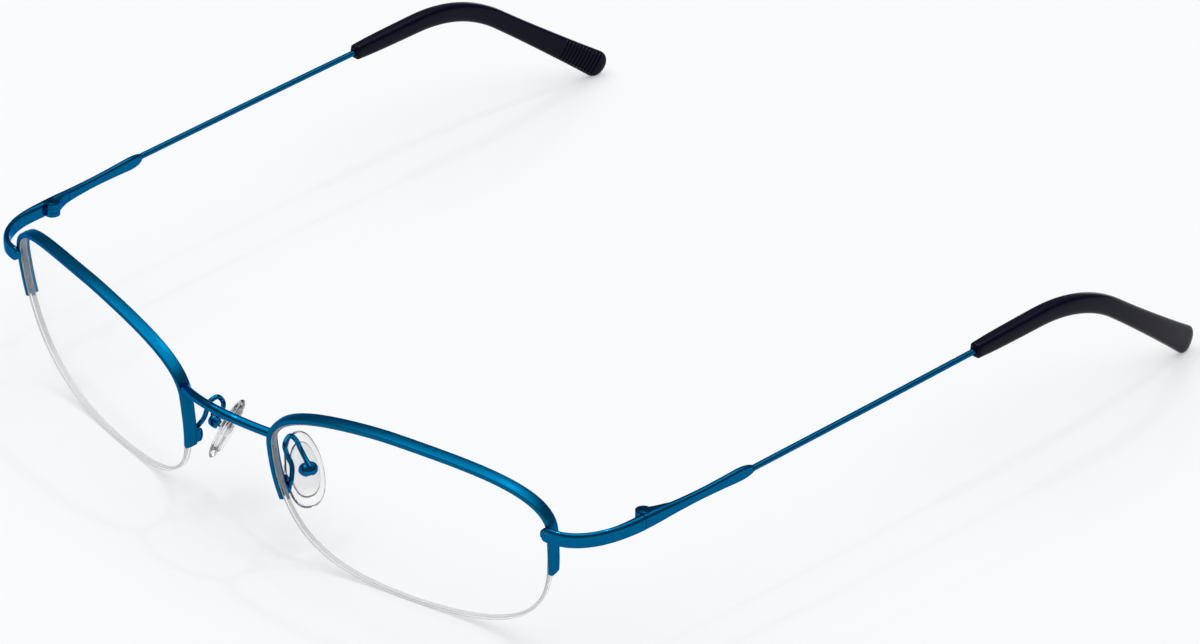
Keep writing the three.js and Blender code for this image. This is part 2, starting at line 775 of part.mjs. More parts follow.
function makePad() {
  const half = padThickness / 2;
  const layers = [[-1, 0.35], [-0.86, 0.72], [-0.5, 0.93], [0, 1], [0.5, 0.93], [0.86, 0.72]];
  const rings = layers.map(([out, scale]) => padRing(out * half, scale));
  rings.push(padRing(half, 0.35));
  return geometryOf(solid(loft(rings)).subtract(coreShape(seat)));
}

// The outside of the pad box: round-ended across the screw, its length along the screw.
function boxShape(grow) {
  const straight = (boxLength - boxWidth) / 2;
  const radius = boxWidth / 2 + grow;
  const shape = new THREE.Shape();
  shape.absarc(straight, 0, radius, -Math.PI / 2, Math.PI / 2);
  shape.absarc(-straight, 0, radius, Math.PI / 2, 1.5 * Math.PI);
  const depth = boxHeight + 2 * grow;
  const body = new THREE.ExtrudeGeometry(shape, { depth, bevelEnabled: false, curveSegments: 4 });
  return body.rotateY(Math.PI / 2).rotateX(Math.PI / 2).translate(-boxMouth - grow, 0, 0);
}

// A small box, open towards the pad, that holds the pad's lug between two cheeks.
function makePadBox() {
  const reach = lugRadius + 3 * running;
  const width = boxMouth + reach;
  const slot = new THREE.BoxGeometry(width, lugThickness + 2 * running, 2 * boxWidth);
  slot.translate(reach - width / 2, 0, 0);
  return solid(boxShape(0)).subtract(solid(slot)).subtract(screwRoom(seat, 2 * boxLength));
}

function makePadScrew() {
  const half = boxLength / 2 - 0.05;
  const radius = padScrewDiameter / 2;
  const profile = [
    v2(0, -half), v2(radius - 0.08, -half), v2(radius, -half + 0.08),
    v2(radius, half - 0.08), v2(radius - 0.08, half), v2(0, half),
  ];
  return new THREE.LatheGeometry(profile, 16);
}

// The arm: a foot soldered to the back of the rim, then a wire that rises, loops over and
// comes down on the box.
const armFootLength = 0.13;  // along the rim, in quarters of the outline
const armFootReach = 0.95;   // how far the foot stands behind the rim

function makeArmFoot() {
  const back = rimDepth - rimProud;
  const [inner, outer] = [0.25, 0.7];
  const rings = [0, 0.4, 0.8, 1].map((share) => {
    const t = rimEnd - 0.015 - armFootLength * share;
    const reach = armFootReach * (1 - 0.3 * share);
    const corners = [[inner, seat], [outer, seat], [outer, reach], [inner, reach]];
    return corners.map(([a, b]) => onEye(t, a, back + b));
  });
  return solid(loft(rings));
}

function makePadArm() {
  const back = rimDepth - rimProud;
  const middle = seat + 0.65 * rimThickness;
  const fromNose = (x, y, z) => noseSide.clone().add(v3(x, y, z));
  const fromBox = (x, y, z) => boxCentre.clone().add(v3(x, y, z));
  const route = new THREE.CatmullRomCurve3([
    onEye(rimEnd - 0.03, middle, back + 0.25),
    onEye(rimEnd - 0.12, middle, back + 0.3),
    fromNose(-0.3, 4.35, -5.7),
    fromNose(-1.15, 4.2, -3.85),
    fromNose(-1.65, 4.35, -2.35),
    fromNose(-2.0, 5.75, -1.65),
    fromBox(-1.75, -0.5, 4.45),
    fromBox(-1.15, -0.05, 2.7),
    boxCentre.clone().addScaledVector(padOut, 0.55).addScaledVector(padUp, 0.2),
  ]);
  const wire = solid(rod(route, armWireDiameter, 24, 8));
  const boxRoom = solid(boxShape(seat).applyMatrix4(groups.l.pad.matrixWorld));
  return geometryOf(wire.add(makeArmFoot()).subtract(solid(leftRimRoom)).subtract(boxRoom));
}

addPair('front', 'pad_arm', makePadArm(), blueMetal);
addPair('pad', 'pad_box', geometryOf(makePadBox()), blueMetal);
addPair('pad', 'pad_screw', makePadScrew(), steel);
addPair('pad', 'pad_core', geometryOf(makePadCore()), clearNylon);
addPair('pad', 'nose_pad', makePad(), clearSilicone);

// The origin is on the surface that the glasses stand on, under the middle of their box.
glasses.updateMatrixWorld(true);
const whole = new THREE.Box3().setFromObject(glasses, true);
glasses.position.set(0, -(whole.min.y + whole.max.y) / 2, -whole.min.z);
glasses.updateMatrixWorld(true);

export default glasses;
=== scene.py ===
# %% [markdown]
# # Half-rim eyeglasses
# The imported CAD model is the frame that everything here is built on: its boxes and joints say
# where each piece goes. The smooth pieces below stand for the faceted CAD ones, each in its place.
# %% Load the frame
import json
import math

import bmesh
import bpy
from mathutils import Matrix, Vector


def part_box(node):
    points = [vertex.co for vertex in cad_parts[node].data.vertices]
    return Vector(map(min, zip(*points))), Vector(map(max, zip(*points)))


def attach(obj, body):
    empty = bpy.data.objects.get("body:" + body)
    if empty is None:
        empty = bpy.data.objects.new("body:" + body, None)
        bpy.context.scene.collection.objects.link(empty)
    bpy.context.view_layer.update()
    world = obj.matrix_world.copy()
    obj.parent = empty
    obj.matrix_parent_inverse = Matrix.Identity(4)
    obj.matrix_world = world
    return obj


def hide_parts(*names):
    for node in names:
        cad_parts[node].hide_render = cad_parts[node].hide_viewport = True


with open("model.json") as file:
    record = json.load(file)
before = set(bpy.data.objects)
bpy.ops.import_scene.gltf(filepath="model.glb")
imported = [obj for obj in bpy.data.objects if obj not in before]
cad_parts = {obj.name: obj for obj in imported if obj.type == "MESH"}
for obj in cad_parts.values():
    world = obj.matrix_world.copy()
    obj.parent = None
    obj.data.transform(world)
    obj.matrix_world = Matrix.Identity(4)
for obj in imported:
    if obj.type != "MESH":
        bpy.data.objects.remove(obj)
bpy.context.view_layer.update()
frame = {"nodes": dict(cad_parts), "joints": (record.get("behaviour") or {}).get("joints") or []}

MM = 0.001
joints = {joint["name"]: joint for joint in frame["joints"]}

# %% [markdown]
# ## The view
# Glasses are best shown from in front and above with a long lens, so that the two temples stay
# almost parallel. The camera could be placed by hand and turned until it looks right. Here it
# stands on a line through the point it looks at, so that the angle and the distance can be
# changed one at a time. There is no depth of field, which would blur the thin wires.
# %% Camera
LOOK_AT = Vector((0, 7.68, 4.92)) * MM
TOWARDS_CAMERA = Vector((0.61237, -0.61237, 0.5))
CAMERA_DISTANCE, FOCAL_LENGTH = 1109 * MM, 207.8
bpy.ops.object.camera_add(
    location=LOOK_AT + CAMERA_DISTANCE * TOWARDS_CAMERA,
    rotation=(math.radians(60), 0, math.radians(45)),
)
camera = bpy.context.active_object
camera.name = "camera"
camera.data.lens = FOCAL_LENGTH
camera.data.clip_start = 0.05
camera.data.clip_end = 20
bpy.context.scene.camera = camera
print("camera at", camera.location)

# %% [markdown]
# ## The studio
# Lacquered metal shows whatever is around it, so the surroundings matter more than the lamps:
# a bright sky above, a grey band near the horizon for the dark lines along the wires, and a
# pale floor. Lamps could light the floor, but the wires would throw clear shadows on it. So the
# sky lights it from all sides, and the floor glows a little, which keeps the shadows faint.
# %% Floor
bpy.ops.mesh.primitive_plane_add(size=4, location=(0, 0, 0))
floor = bpy.context.active_object
floor.name = "floor"
print("floor", floor.dimensions.x, "m wide")

floor_paper = bpy.data.materials.new("floor_paper")
floor_paper.use_nodes = True
paper = floor_paper.node_tree.nodes["Principled BSDF"]
paper.inputs["Base Color"].default_value = (0.50, 0.505, 0.51, 1)
paper.inputs["Emission Color"].default_value = (0.98, 0.99, 1.0, 1)
paper.inputs["Emission Strength"].default_value = 0.405
paper.inputs["Roughness"].default_value = 0.9
paper.inputs["Specular IOR Level"].default_value = 0.1
floor.data.materials.append(floor_paper)

# %% [markdown]
# The sky is a colour ramp over height: grey up to about 30 degrees and nearly white above 57.
# An image of a light tent could do the same, but a ramp needs no file.
# %% Sky
world = bpy.data.worlds.new("studio")
bpy.context.scene.world = world
world.use_nodes = True
sky = world.node_tree
sky_place = sky.nodes.new("ShaderNodeTexCoord")
sky_split = sky.nodes.new("ShaderNodeSeparateXYZ")
sky_ramp = sky.nodes.new("ShaderNodeValToRGB")
sky.links.new(sky_place.outputs["Generated"], sky_split.inputs[0])
sky.links.new(sky_split.outputs["Z"], sky_ramp.inputs[0])
sky.links.new(sky_ramp.outputs[0], sky.nodes["Background"].inputs["Color"])
steps = sky_ramp.color_ramp.elements
steps[0].position = 0.0
steps[0].color = (0.12, 0.125, 0.13, 1)
steps[1].position = 1.0
steps[1].color = (1.0, 1.0, 1.0, 1)
for position, grey in ((0.52, 0.12), (0.70, 0.30), (0.84, 0.95)):
    step = steps.new(position)
    step.color = (grey, grey, grey, 1)
print("sky with", len(steps), "greys")
sky.nodes["Background"].inputs["Strength"].default_value = 1.93

# %% [markdown]
# Three small lamps stand where the rounded bars and wires mirror them towards the camera. They
# are far too small to light the scene, and are there only for the short glints on the lacquer.
# %% Lamps
GLINT_LAMP_SIZE = 0.06


def add_lamp(name, place, watts):
    bpy.ops.object.light_add(type="AREA", location=place)
    lamp = bpy.context.active_object
    lamp.name = name
    lamp.data.size = GLINT_LAMP_SIZE
    lamp.data.energy = watts
    lamp.rotation_euler = (-lamp.location).to_track_quat("-Z", "Y").to_euler()
    print(name, tuple(round(c, 2) for c in lamp.location))


add_lamp("glint_lamp_front", (-0.48, -0.32, 1.49), 1.5)
add_lamp("glint_lamp_back", (0.03, 0.54, 1.49), 1.5)
add_lamp("glint_lamp_side", (-0.98, 0.05, 1.25), 0.6)
bpy.context.scene.view_settings.view_transform = "Standard"

# %% [markdown]
# ## Modelling helpers
# Most pieces of a pair of glasses are bars, wires and strips that follow a path. In Blender
# these are drawn by hand by extruding a ring again and again and putting each new ring in
# place. The skin helper does that: it starts from a circle and extrudes it along the piece.
# Every piece is then closed in the same way: doubles merged, faces turned out, shading smooth.
# %% Close a piece up
def start_alone():
    if bpy.context.object and bpy.context.object.mode != "OBJECT":
        bpy.ops.object.mode_set(mode="OBJECT")
    bpy.ops.object.select_all(action="DESELECT")


def close_up(obj, angle=35):
    """Doubles merged, faces turned outwards and the shading smoothed, as on any closed piece."""
    start_alone()
    obj.select_set(True)
    bpy.context.view_layer.objects.active = obj
    bpy.ops.object.mode_set(mode="EDIT")
    bpy.ops.mesh.select_all(action="SELECT")
    bpy.ops.mesh.remove_doubles(threshold=2e-6)
    bpy.ops.mesh.normals_make_consistent(inside=False)
    bpy.ops.object.mode_set(mode="OBJECT")
    bpy.ops.object.shade_smooth_by_angle(angle=math.radians(angle))
    return obj


# %% [markdown]
# Extruding shuffles the points, so each one carries a number that says which place in the ring
# it has, and goes there in every new ring. A flat face closes each end. A lofting add-on could
# do the same, but this way needs nothing beyond Blender.
# %% Skin a piece over rings
def skin(name, rings, angle=35):
    """A circle is extruded from ring to ring, and each ring goes where the piece has it."""
    start_alone()
    bpy.ops.mesh.primitive_circle_add(vertices=len(rings[0]), radius=MM, fill_type="NOTHING")
    obj = bpy.context.active_object
    obj.name = obj.data.name = name
    bpy.ops.object.mode_set(mode="EDIT")
    mesh = bmesh.from_edit_mesh(obj.data)
    order = mesh.verts.layers.int.new("order")
    mesh.verts.ensure_lookup_table()
    for i, vert in enumerate(mesh.verts):
        vert[order] = i
        vert.co = rings[0][i] * MM
    bpy.ops.mesh.select_all(action="SELECT")
    for ring in rings[1:]:
        bpy.ops.mesh.extrude_region_move()
        mesh = bmesh.from_edit_mesh(obj.data)
        order = mesh.verts.layers.int["order"]
        for vert in mesh.verts:
            if vert.select:
                vert.co = ring[vert[order]] * MM
    bpy.ops.mesh.select_all(action="SELECT")
    bpy.ops.mesh.region_to_loop()
    bpy.ops.mesh.edge_face_add()
    bpy.ops.mesh.select_all(action="DESELECT")
    mesh = bmesh.from_edit_mesh(obj.data)
    mesh.verts.layers.int.remove(mesh.verts.layers.int["order"])
    holes = [edge for edge in mesh.edges if edge.is_boundary]
    if holes:
        bmesh.ops.holes_fill(mesh, edges=holes, sides=0)
    bmesh.update_edit_mesh(obj.data)
    bpy.ops.object.mode_set(mode="OBJECT")
    return close_up(obj, angle)


# %% [markdown]
# A wire could be skinned too, but a path curve with a round bevel is quicker, keeps its section
# square to the path by itself, and can swell where a wire is flattened or flared.
# %% Draw a wire
def wire(name, points, diameter, sides=8, swell=None):
    """A path curve with a round section, made a mesh and closed; swell widens it along."""
    start_alone()
    bpy.ops.curve.primitive_nurbs_path_add()
    obj = bpy.context.active_object
    obj.name = obj.data.name = name
    obj.data.splines.clear()
    spline = obj.data.splines.new("POLY")
    spline.points.add(len(points) - 1)
    for i, (slot, point) in enumerate(zip(spline.points, points)):
        slot.co = (*(point * MM), 1)
        slot.radius = swell(i / (len(points) - 1)) if swell else 1
    obj.data.dimensions = "3D"
    obj.data.twist_mode = "MINIMUM"
    obj.data.bevel_depth = diameter / 2 * MM
    obj.data.bevel_resolution = sides // 2
    obj.data.use_fill_caps = True
    bpy.ops.object.convert(target="MESH")
    return close_up(bpy.context.active_object, 50)


# %% [markdown]
# A loop is easier to shape with a few well-placed points than with many. This helper runs a
# smooth curve through them and spaces its own points evenly, so that no stretch is faceted.
# %% Smooth a path
def smooth_path(points, count):
    """Points evenly along a smooth curve through a few given ones."""
    path = [points[0] * 2 - points[1], *points, points[-1] * 2 - points[-2]]
    fine = []
    for a, b, c, d in zip(path, path[1:], path[2:], path[3:]):
        for k in range(24):
            t = k / 24
            fine.append(0.5 * (2 * b + (c - a) * t + (2 * a - 5 * b + 4 * c - d) * t * t
                               + (3 * b - a - 3 * c + d) * t ** 3))
    fine.append(points[-1])
    reach = [0.0]
    for a, b in zip(fine, fine[1:]):
        reach.append(reach[-1] + (b - a).length)
    out, j = [], 0
    for i in range(count):
        wanted = reach[-1] * i / (count - 1)
        while j < len(reach) - 2 and reach[j + 1] < wanted:
            j += 1
        share = (wanted - reach[j]) / max(reach[j + 1] - reach[j], 1e-9)
        out.append(fine[j].lerp(fine[j + 1], share))
    return out


# %% [markdown]
# The two halves of the frame mirror each other, so each piece is made once for the wearer's
# left and copied. A mirror modifier would keep both halves in one mesh, and they have to be
# separate pieces. Cuts and broken edges are modifiers that are applied at once.
# %% Copies and cuts
def mirrored(obj, name):
    """The same piece for the wearer's right: copied, turned over in x and its faces turned out."""
    start_alone()
    obj.select_set(True)
    bpy.context.view_layer.objects.active = obj
    bpy.ops.object.duplicate()
    copy = bpy.context.active_object
    copy.name = copy.data.name = name
    bpy.ops.object.mode_set(mode="EDIT")
    bpy.ops.mesh.select_all(action="SELECT")
    bpy.ops.transform.resize(value=(-1, 1, 1), center_override=(0, 0, 0))
    bpy.ops.mesh.flip_normals()
    bpy.ops.object.mode_set(mode="OBJECT")
    return copy


def use_modifier(obj, kind, **settings):
    start_alone()
    obj.select_set(True)
    bpy.context.view_layer.objects.active = obj
    bpy.ops.object.modifier_add(type=kind)
    modifier = obj.modifiers[-1]
    for key, value in settings.items():
        setattr(modifier, key, value)
    bpy.ops.object.modifier_apply(modifier=modifier.name)
    return obj


def cut(obj, tool):
    use_modifier(obj, "BOOLEAN", operation="DIFFERENCE", object=tool, solver="EXACT")
    bpy.data.objects.remove(tool)
    return close_up(obj)


# %% [markdown]
# A piece that is already right in the CAD model needs no second drawing. Its copy only loses
# its doubles and gets broken edges, which catch the light as real ones do.
# %% Copy a small CAD piece
def from_cad(node, name, bevel, angle=35):
    """A merged copy of a small CAD piece, with its edges broken and its round faces smooth."""
    start_alone()
    source = frame["nodes"][node]
    copy = source.copy()
    copy.data = source.data.copy()
    copy.parent = None
    for key in list(copy.keys()):
        del copy[key]
    bpy.context.scene.collection.objects.link(copy)
    copy.name = copy.data.name = name
    copy.data.materials.clear()
    close_up(copy, angle)
    use_modifier(copy, "BEVEL", width=bevel * MM, segments=2, limit_method="ANGLE",
                 angle_limit=math.radians(angle), use_clamp_overlap=True)
    return close_up(copy, angle)


# %% [markdown]
# ## Finishes
# Every finish is a Principled shader with a little noise: no lacquer, plastic or nylon is
# perfectly even, and the slight unevenness is what keeps thin highlights from looking drawn.
# %% A finish with fine unevenness
def finish(name, colour, metallic, roughness, grain, uneven=0.05, bump=0.02, shade=0.12,
           **sockets):
    material = bpy.data.materials.new(name)
    material.use_nodes = True
    nodes, links = material.node_tree.nodes, material.node_tree.links
    shader = nodes["Principled BSDF"]
    place = nodes.new("ShaderNodeTexCoord")
    noise = nodes.new("ShaderNodeTexNoise")
    noise.inputs["Scale"].default_value = grain
    noise.inputs["Detail"].default_value = 4
    links.new(place.outputs["Object"], noise.inputs["Vector"])
    rough = nodes.new("ShaderNodeMapRange")
    rough.inputs["To Min"].default_value = max(roughness - uneven, 0.01)
    rough.inputs["To Max"].default_value = roughness + uneven
    links.new(noise.outputs["Fac"], rough.inputs["Value"])
    links.new(rough.outputs[0], shader.inputs["Roughness"])
    tone = nodes.new("ShaderNodeMix")
    tone.data_type = "RGBA"
    tone.inputs["A"].default_value = (*[c * (1 - shade) for c in colour], 1)
    tone.inputs["B"].default_value = (*[min(c * (1 + shade), 1) for c in colour], 1)
    links.new(noise.outputs["Fac"], tone.inputs["Factor"])
    links.new(tone.outputs["Result"], shader.inputs["Base Color"])
    relief = nodes.new("ShaderNodeBump")
    relief.inputs["Strength"].default_value = bump
    relief.inputs["Distance"].default_value = 0.05 * MM
    links.new(noise.outputs["Fac"], relief.inputs["Height"])
    links.new(relief.outputs[0], shader.inputs["Normal"])
    shader.inputs["Metallic"].default_value = metallic
    for socket, value in sockets.items():
        shader.inputs[socket.replace("_", " ")].default_value = value
    print("finish", name)
    return material


# %% [markdown]
# The frame is coloured metal: blue lacquer, glossy on the bars and wires, satin on the rims,
# and polished on the small parts of the pads. Such lacquer stays blue at grazing angles, where
# plain metal turns white, so the edge tint is blue too. The ear tips are near-black plastic.
# %% Lacquer and plastic
EDGE_TINT = (0.15, 0.5, 0.85, 1)
blue_lacquer = finish("blue_lacquer", (0.0, 0.108, 0.252), 1.0, 0.12, 900, uneven=0.03,
                      Specular_Tint=EDGE_TINT)
blue_satin = finish("blue_satin", (0.0, 0.110, 0.240), 1.0, 0.34, 1400, bump=0.03,
                    Specular_Tint=EDGE_TINT)
blue_polish = finish("blue_polish", (0.0, 0.112, 0.262), 1.0, 0.09, 2200, uneven=0.03, bump=0.2,
                     Specular_Tint=EDGE_TINT)
tip_plastic = finish("tip_plastic", (0.0016, 0.0016, 0.0115), 0.0, 0.2, 600,
                     Specular_IOR_Level=0.07)
# A lighter grey for the groove walls that face the end of the tip, as a painted highlight.
tip_groove_highlight = finish("tip_groove_highlight", (0.10, 0.10, 0.11), 0.0, 0.4, 600)

# %% [markdown]
# ## Clear plastics
# The lens and the nylon are see-through. A thin, evenly thick lens bends the view behind it
# hardly at all, so a see-through share that falls away at grazing angles looks like the real
# thing, throws no heavy shadow, and needs no bent light. The ground edge of the lens is matt.
# The soft pads are thick and rounded, so they do bend the light, and show dark outlines.
# %% Clear finishes
def clear_finish(name, colour, roughness, facing, grazing, start=0.0, grain=800, bump=0.01,
                 shade=0.04):
    """Seen straight on it is as solid as facing says; from start on it thickens to grazing."""
    material = finish(name, colour, 0.0, roughness, grain, uneven=0.03, bump=bump, shade=shade)
    nodes, links = material.node_tree.nodes, material.node_tree.links
    weight = nodes.new("ShaderNodeLayerWeight")
    weight.inputs["Blend"].default_value = 0.5
    share = nodes.new("ShaderNodeMapRange")
    share.interpolation_type = "SMOOTHSTEP"
    share.inputs["From Min"].default_value = start
    share.inputs["To Min"].default_value = facing
    share.inputs["To Max"].default_value = grazing
    links.new(weight.outputs["Facing"], share.inputs["Value"])
    links.new(share.outputs[0], nodes["Principled BSDF"].inputs["Alpha"])
    return material


lens_clear = clear_finish("lens_clear", (0.9, 0.92, 0.94), 0.06, 0.003, 0.12, start=0.6)
lens_edge = clear_finish("lens_edge", (0.74, 0.745, 0.75), 0.42, 0.8, 0.92, bump=0.05)
# Painted shade: the edge and groove under the rim take darker greys, the groove darkest.
edge_land_rim_shade = clear_finish("edge_land_rim_shade", (0.58, 0.59, 0.61), 0.3, 0.88, 0.97, bump=0.4,
                         grain=900, shade=0.35)
edge_groove_rim_shade = clear_finish("edge_groove_rim_shade", (0.16, 0.21, 0.28), 0.3, 0.985, 0.99, bump=0.5,
                           grain=1100, shade=0.5)
nylon_strip = clear_finish("nylon_strip", (0.34, 0.39, 0.45), 0.35, 0.8, 0.95, bump=0.15)
nylon_cord = clear_finish("nylon_cord", (0.88, 0.885, 0.89), 0.25, 0.35, 0.8)
pad_silicone = finish("pad_silicone", (0.96, 0.965, 0.97), 0.0, 0.05, 700, uneven=0.03,
                      shade=0.02, Transmission_Weight=1.0, IOR=1.47)
pad_insert = finish("pad_insert", (0.93, 0.935, 0.94), 0.0, 0.06, 700, uneven=0.03,
                    shade=0.02, Transmission_Weight=1.0, IOR=1.45)


# %% [markdown]
# ## Dressing
# A finished piece is hung on the body it moves with, hides the CAD piece that it stands for, and
# gets its finish. Pieces that come in pairs are mirrored first.
# %% Dress a piece
def dress(obj, body, node, slot, *materials):
    """A finished piece: it moves with its body, stands for its CAD node, and has its finish."""
    for material in materials:
        obj.data.materials.append(material)
    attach(obj, body)
    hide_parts(node)
    print(obj.name, len(obj.data.polygons), "faces on", body)
    return obj


BODY_OF = {"front": ("front", "front"), "temple": ("temple_left", "temple_right"),
           "pad": ("pad_left", "pad_right")}


def dress_pair(obj, place, node, slot, *materials):
    copy = mirrored(obj, obj.name.replace("left_", "right_"))
    left, right = BODY_OF[place]
    dress(obj, left, node + "_l", slot, *materials)
    dress(copy, right, node + "_r", slot, *materials)
    return obj, copy


# %% [markdown]
# ## The lens outline
# One smooth outline drives the lens, the rim round it, the liner in the rim and the cord under
# the lens, as it does in the workshop, where a tracer copies one rim for all of them. It has
# four quarters, each a curve that ends level or upright, drawn in the lens's own plane.
# %% Outline of the lens
LENS_WIDTH, LENS_HEIGHT = 50, 30.3
LENS_EDGE, LENS_CURVE = 1.4, 148
SEAT = 0.04
RIM_START, RIM_END = -0.19, 2.21
POLE = Vector((-1.6, 3.0))
EXTREMES = [
    Vector((LENS_WIDTH / 2, 0.21 * LENS_HEIGHT)) - POLE,
    Vector((-0.03 * LENS_WIDTH, LENS_HEIGHT / 2)) - POLE,
    Vector((-LENS_WIDTH / 2, 0.178 * LENS_HEIGHT)) - POLE,
    Vector((-0.019 * LENS_WIDTH, -LENS_HEIGHT / 2)) - POLE,
]
FULLNESS = [(0.39, 0.9), (0.15, 0.86), (0.92, 0.61), (0.88, 0.67)]
print("lens", LENS_WIDTH, "by", LENS_HEIGHT, "mm")


def edge(t):
    """A point of the outline and the way out from it; t counts quarters from the temple side."""
    quarter, share = int(t % 4), t % 1
    start, end = EXTREMES[quarter], EXTREMES[(quarter + 1) % 4]
    corner = Vector((start.x, end.y)) if quarter % 2 == 0 else Vector((end.x, start.y))
    leave, arrive = FULLNESS[quarter]
    first, second = start.lerp(corner, leave), end.lerp(corner, arrive)
    rest = 1 - share
    point = (rest ** 3 * start + 3 * rest * rest * share * first
             + 3 * rest * share * share * second + share ** 3 * end)
    along = (rest * rest * (first - start) + 2 * rest * share * (second - first)
             + share * share * (end - second)).normalized()
    return point, Vector((along.y, -along.x))


def eye_point(t, a, b):
    """In the lens's frame: a outwards from its edge, b back from its front face."""
    point, out = edge(t)
    sag = point.length_squared / (2 * LENS_CURVE)
    return Vector((point.x + a * out.x, point.y + a * out.y, -sag - b))


# %% [markdown]
# The lens is tilted, with its foot in towards the cheek, and turned back at the temple, as every
# frame is bent to follow the face. The outline could be drawn in that slanted place, but it is
# simpler to draw it flat, turn it, and then move it until it fills the CAD lens's box.
# %% Stand the outline in its place
WRAP, TILT = math.radians(11.4), math.radians(7.4)
eye_turn = (Matrix.Rotation(WRAP, 4, "Z") @ Matrix.Rotation(math.pi / 2 + TILT, 4, "X"))
lens_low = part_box("lens_l")[0]
turned = [eye_turn @ eye_point(k / 50, 0, b) for k in range(200) for b in (0, LENS_EDGE)]
corner = Vector([min(p[i] for p in turned) for i in range(3)])
eye_frame = Matrix.Translation(Vector(lens_low) / MM - corner) @ eye_turn
print("left lens stands at", eye_frame.translation)


def on_eye(t, a, b):
    return eye_frame @ eye_point(t, a, b)


# %% [markdown]
# Even steps would cut the tight corners of the outline and waste points on its flat top, so
# the stations lie closer together where it turns more.
# %% Stations along the outline
def spaced(start, end, count):
    """Stations along the outline, closer together where it turns more."""
    fine = [start + (end - start) * i / 600 for i in range(601)]
    weight = [0.0]
    for a, b in zip(fine, fine[1:]):
        (p, n), (q, m) = edge(a), edge(b)
        weight.append(weight[-1] + (q - p).length / 7 + n.angle(m, 0) / math.radians(9))
    out, j = [], 0
    for i in range(count):
        wanted = weight[-1] * i / (count - 1)
        while j < 599 and weight[j + 1] < wanted:
            j += 1
        share = (wanted - weight[j]) / max(weight[j + 1] - weight[j], 1e-9)
        out.append(fine[j] + (fine[j + 1] - fine[j]) * min(share, 1))
    return out


# %% [markdown]
# ## Lenses
# A lens is a shell cut from a ball: both faces are gently curved, and a groove runs round the
# ground edge for the liner and the cord. It is skinned from the middle of its front, over the
# edge, to the middle of its back. The ground edge is matt, and the faces are polished.
# %% Lens
GROOVE_MIDDLE, GROOVE_WIDTH, GROOVE_DEPTH = LENS_EDGE / 2, 0.66, 0.52
BEVEL = 0.12


def make_lens():
    low, high = GROOVE_MIDDLE - GROOVE_WIDTH / 2, GROOVE_MIDDLE + GROOVE_WIDTH / 2
    turns = spaced(0, 4, 145)[:-1]
    over_edge = [(-BEVEL, 0), (-0.03, 0.03), (0, BEVEL), (0, low), (-GROOVE_DEPTH * 0.8, low),
                 (-GROOVE_DEPTH, GROOVE_MIDDLE), (-GROOVE_DEPTH * 0.8, high), (0, high),
                 (0, LENS_EDGE - BEVEL), (-0.03, LENS_EDGE - 0.03), (-BEVEL, LENS_EDGE)]

    def inner(share, b):
        points = [edge(t)[0] * share for t in turns]
        return [eye_frame @ Vector((p.x, p.y, -p.length_squared / (2 * LENS_CURVE) - b))
                for p in points]

    shares = [0.02, 0.2, 0.4, 0.6, 0.8, 0.93, 0.985]
    rings = [inner(share, 0) for share in shares]
    rings += [[on_eye(t, a, b) for t in turns] for a, b in over_edge]
    rings += [inner(share, LENS_EDGE) for share in reversed(shares)]
    return skin("left_lens", rings, 30)


lens = make_lens()
print("lens", len(lens.data.polygons), "faces")

# %% [markdown]
# The polished faces, the open ground edge, and the edge and groove behind the rim each take a
# finish of their own. The edge and groove behind the rim are painted darker, as painted shade of
# the rim over them. Each face takes its finish by its place: how far back it lies says whether it
# is in the groove, and where it is round the outline whether the rim covers it.
# %% Finish the faces of the lens
forwards = (eye_frame.to_3x3() @ Vector((0, 0, 1))).normalized()
to_eye = eye_frame.inverted()
around = [(k / 40, edge(k / 40)[0]) for k in range(160)]
for material in (lens_clear, lens_edge, edge_land_rim_shade, edge_groove_rim_shade):
    lens.data.materials.append(material)
for face in lens.data.polygons:
    if abs(face.normal.dot(forwards)) > 0.9:
        continue
    here = to_eye @ (face.center / MM)
    back = -here.z - here.to_2d().length_squared / (2 * LENS_CURVE)
    t = min(around, key=lambda station: (station[1] - here.to_2d()).length_squared)[0]
    in_rim = t < RIM_END or t > 4 + RIM_START
    in_groove = abs(back - GROOVE_MIDDLE) < GROOVE_WIDTH / 2
    # Faces behind the rim take the painted-shade greys.
    face.material_index = (3 if in_groove else 2) if in_rim else 1
dress_pair(lens, "front", "lens", "lens")

# %% [markdown]
# ## Rims, liners and cords
# A half rim is a strip of channel section bent round the upper lens, and a nylon liner in it
# grips the lens. Below, a nylon cord lies in the lens groove and runs up into the channel at
# both ends. All three follow the outline. A bevelled curve could carry the section along, but
# it twists on a curved lens, so each piece is skinned from its own section.
# %% Half rim
RIM_THICKNESS, RIM_DEPTH, RIM_PROUD, CHANNEL = 0.8, 2.05, 0.12, 0.44


def along_outline(name, profile, start, end, count, angle=35):
    rings = [[on_eye(t, a, b) for a, b in profile] for t in spaced(start, end, count)]
    return skin(name, rings, angle)


def rounded_corner(a, b, radius, start, steps=3):
    """Points of a quarter turn about a corner's centre, from a start angle in degrees."""
    return [(a + radius * math.cos(math.radians(start + 90 * i / steps)),
             b + radius * math.sin(math.radians(start + 90 * i / steps)))
            for i in range(steps + 1)]


inner, outer = SEAT, SEAT + RIM_THICKNESS
front, back = -RIM_PROUD, RIM_DEPTH - RIM_PROUD
low, high = GROOVE_MIDDLE - GROOVE_WIDTH / 2, GROOVE_MIDDLE + GROOVE_WIDTH / 2
soft = 0.2
rim_profile = [
    (inner, low), (inner, front + 0.06), (inner + 0.06, front),
    *rounded_corner(outer - soft, front + soft, soft, -90),
    (outer + 0.07, (front + back) / 2),
    *rounded_corner(outer - soft, back - soft, soft, 0),
    (inner + 0.06, back), (inner, back - 0.06), (inner, high),
    (inner + CHANNEL, high), (inner + CHANNEL, low),
]
rim = along_outline("left_rim", rim_profile, RIM_START, RIM_END, 110)
dress_pair(rim, "front", "rim", "blue_metal", blue_satin)

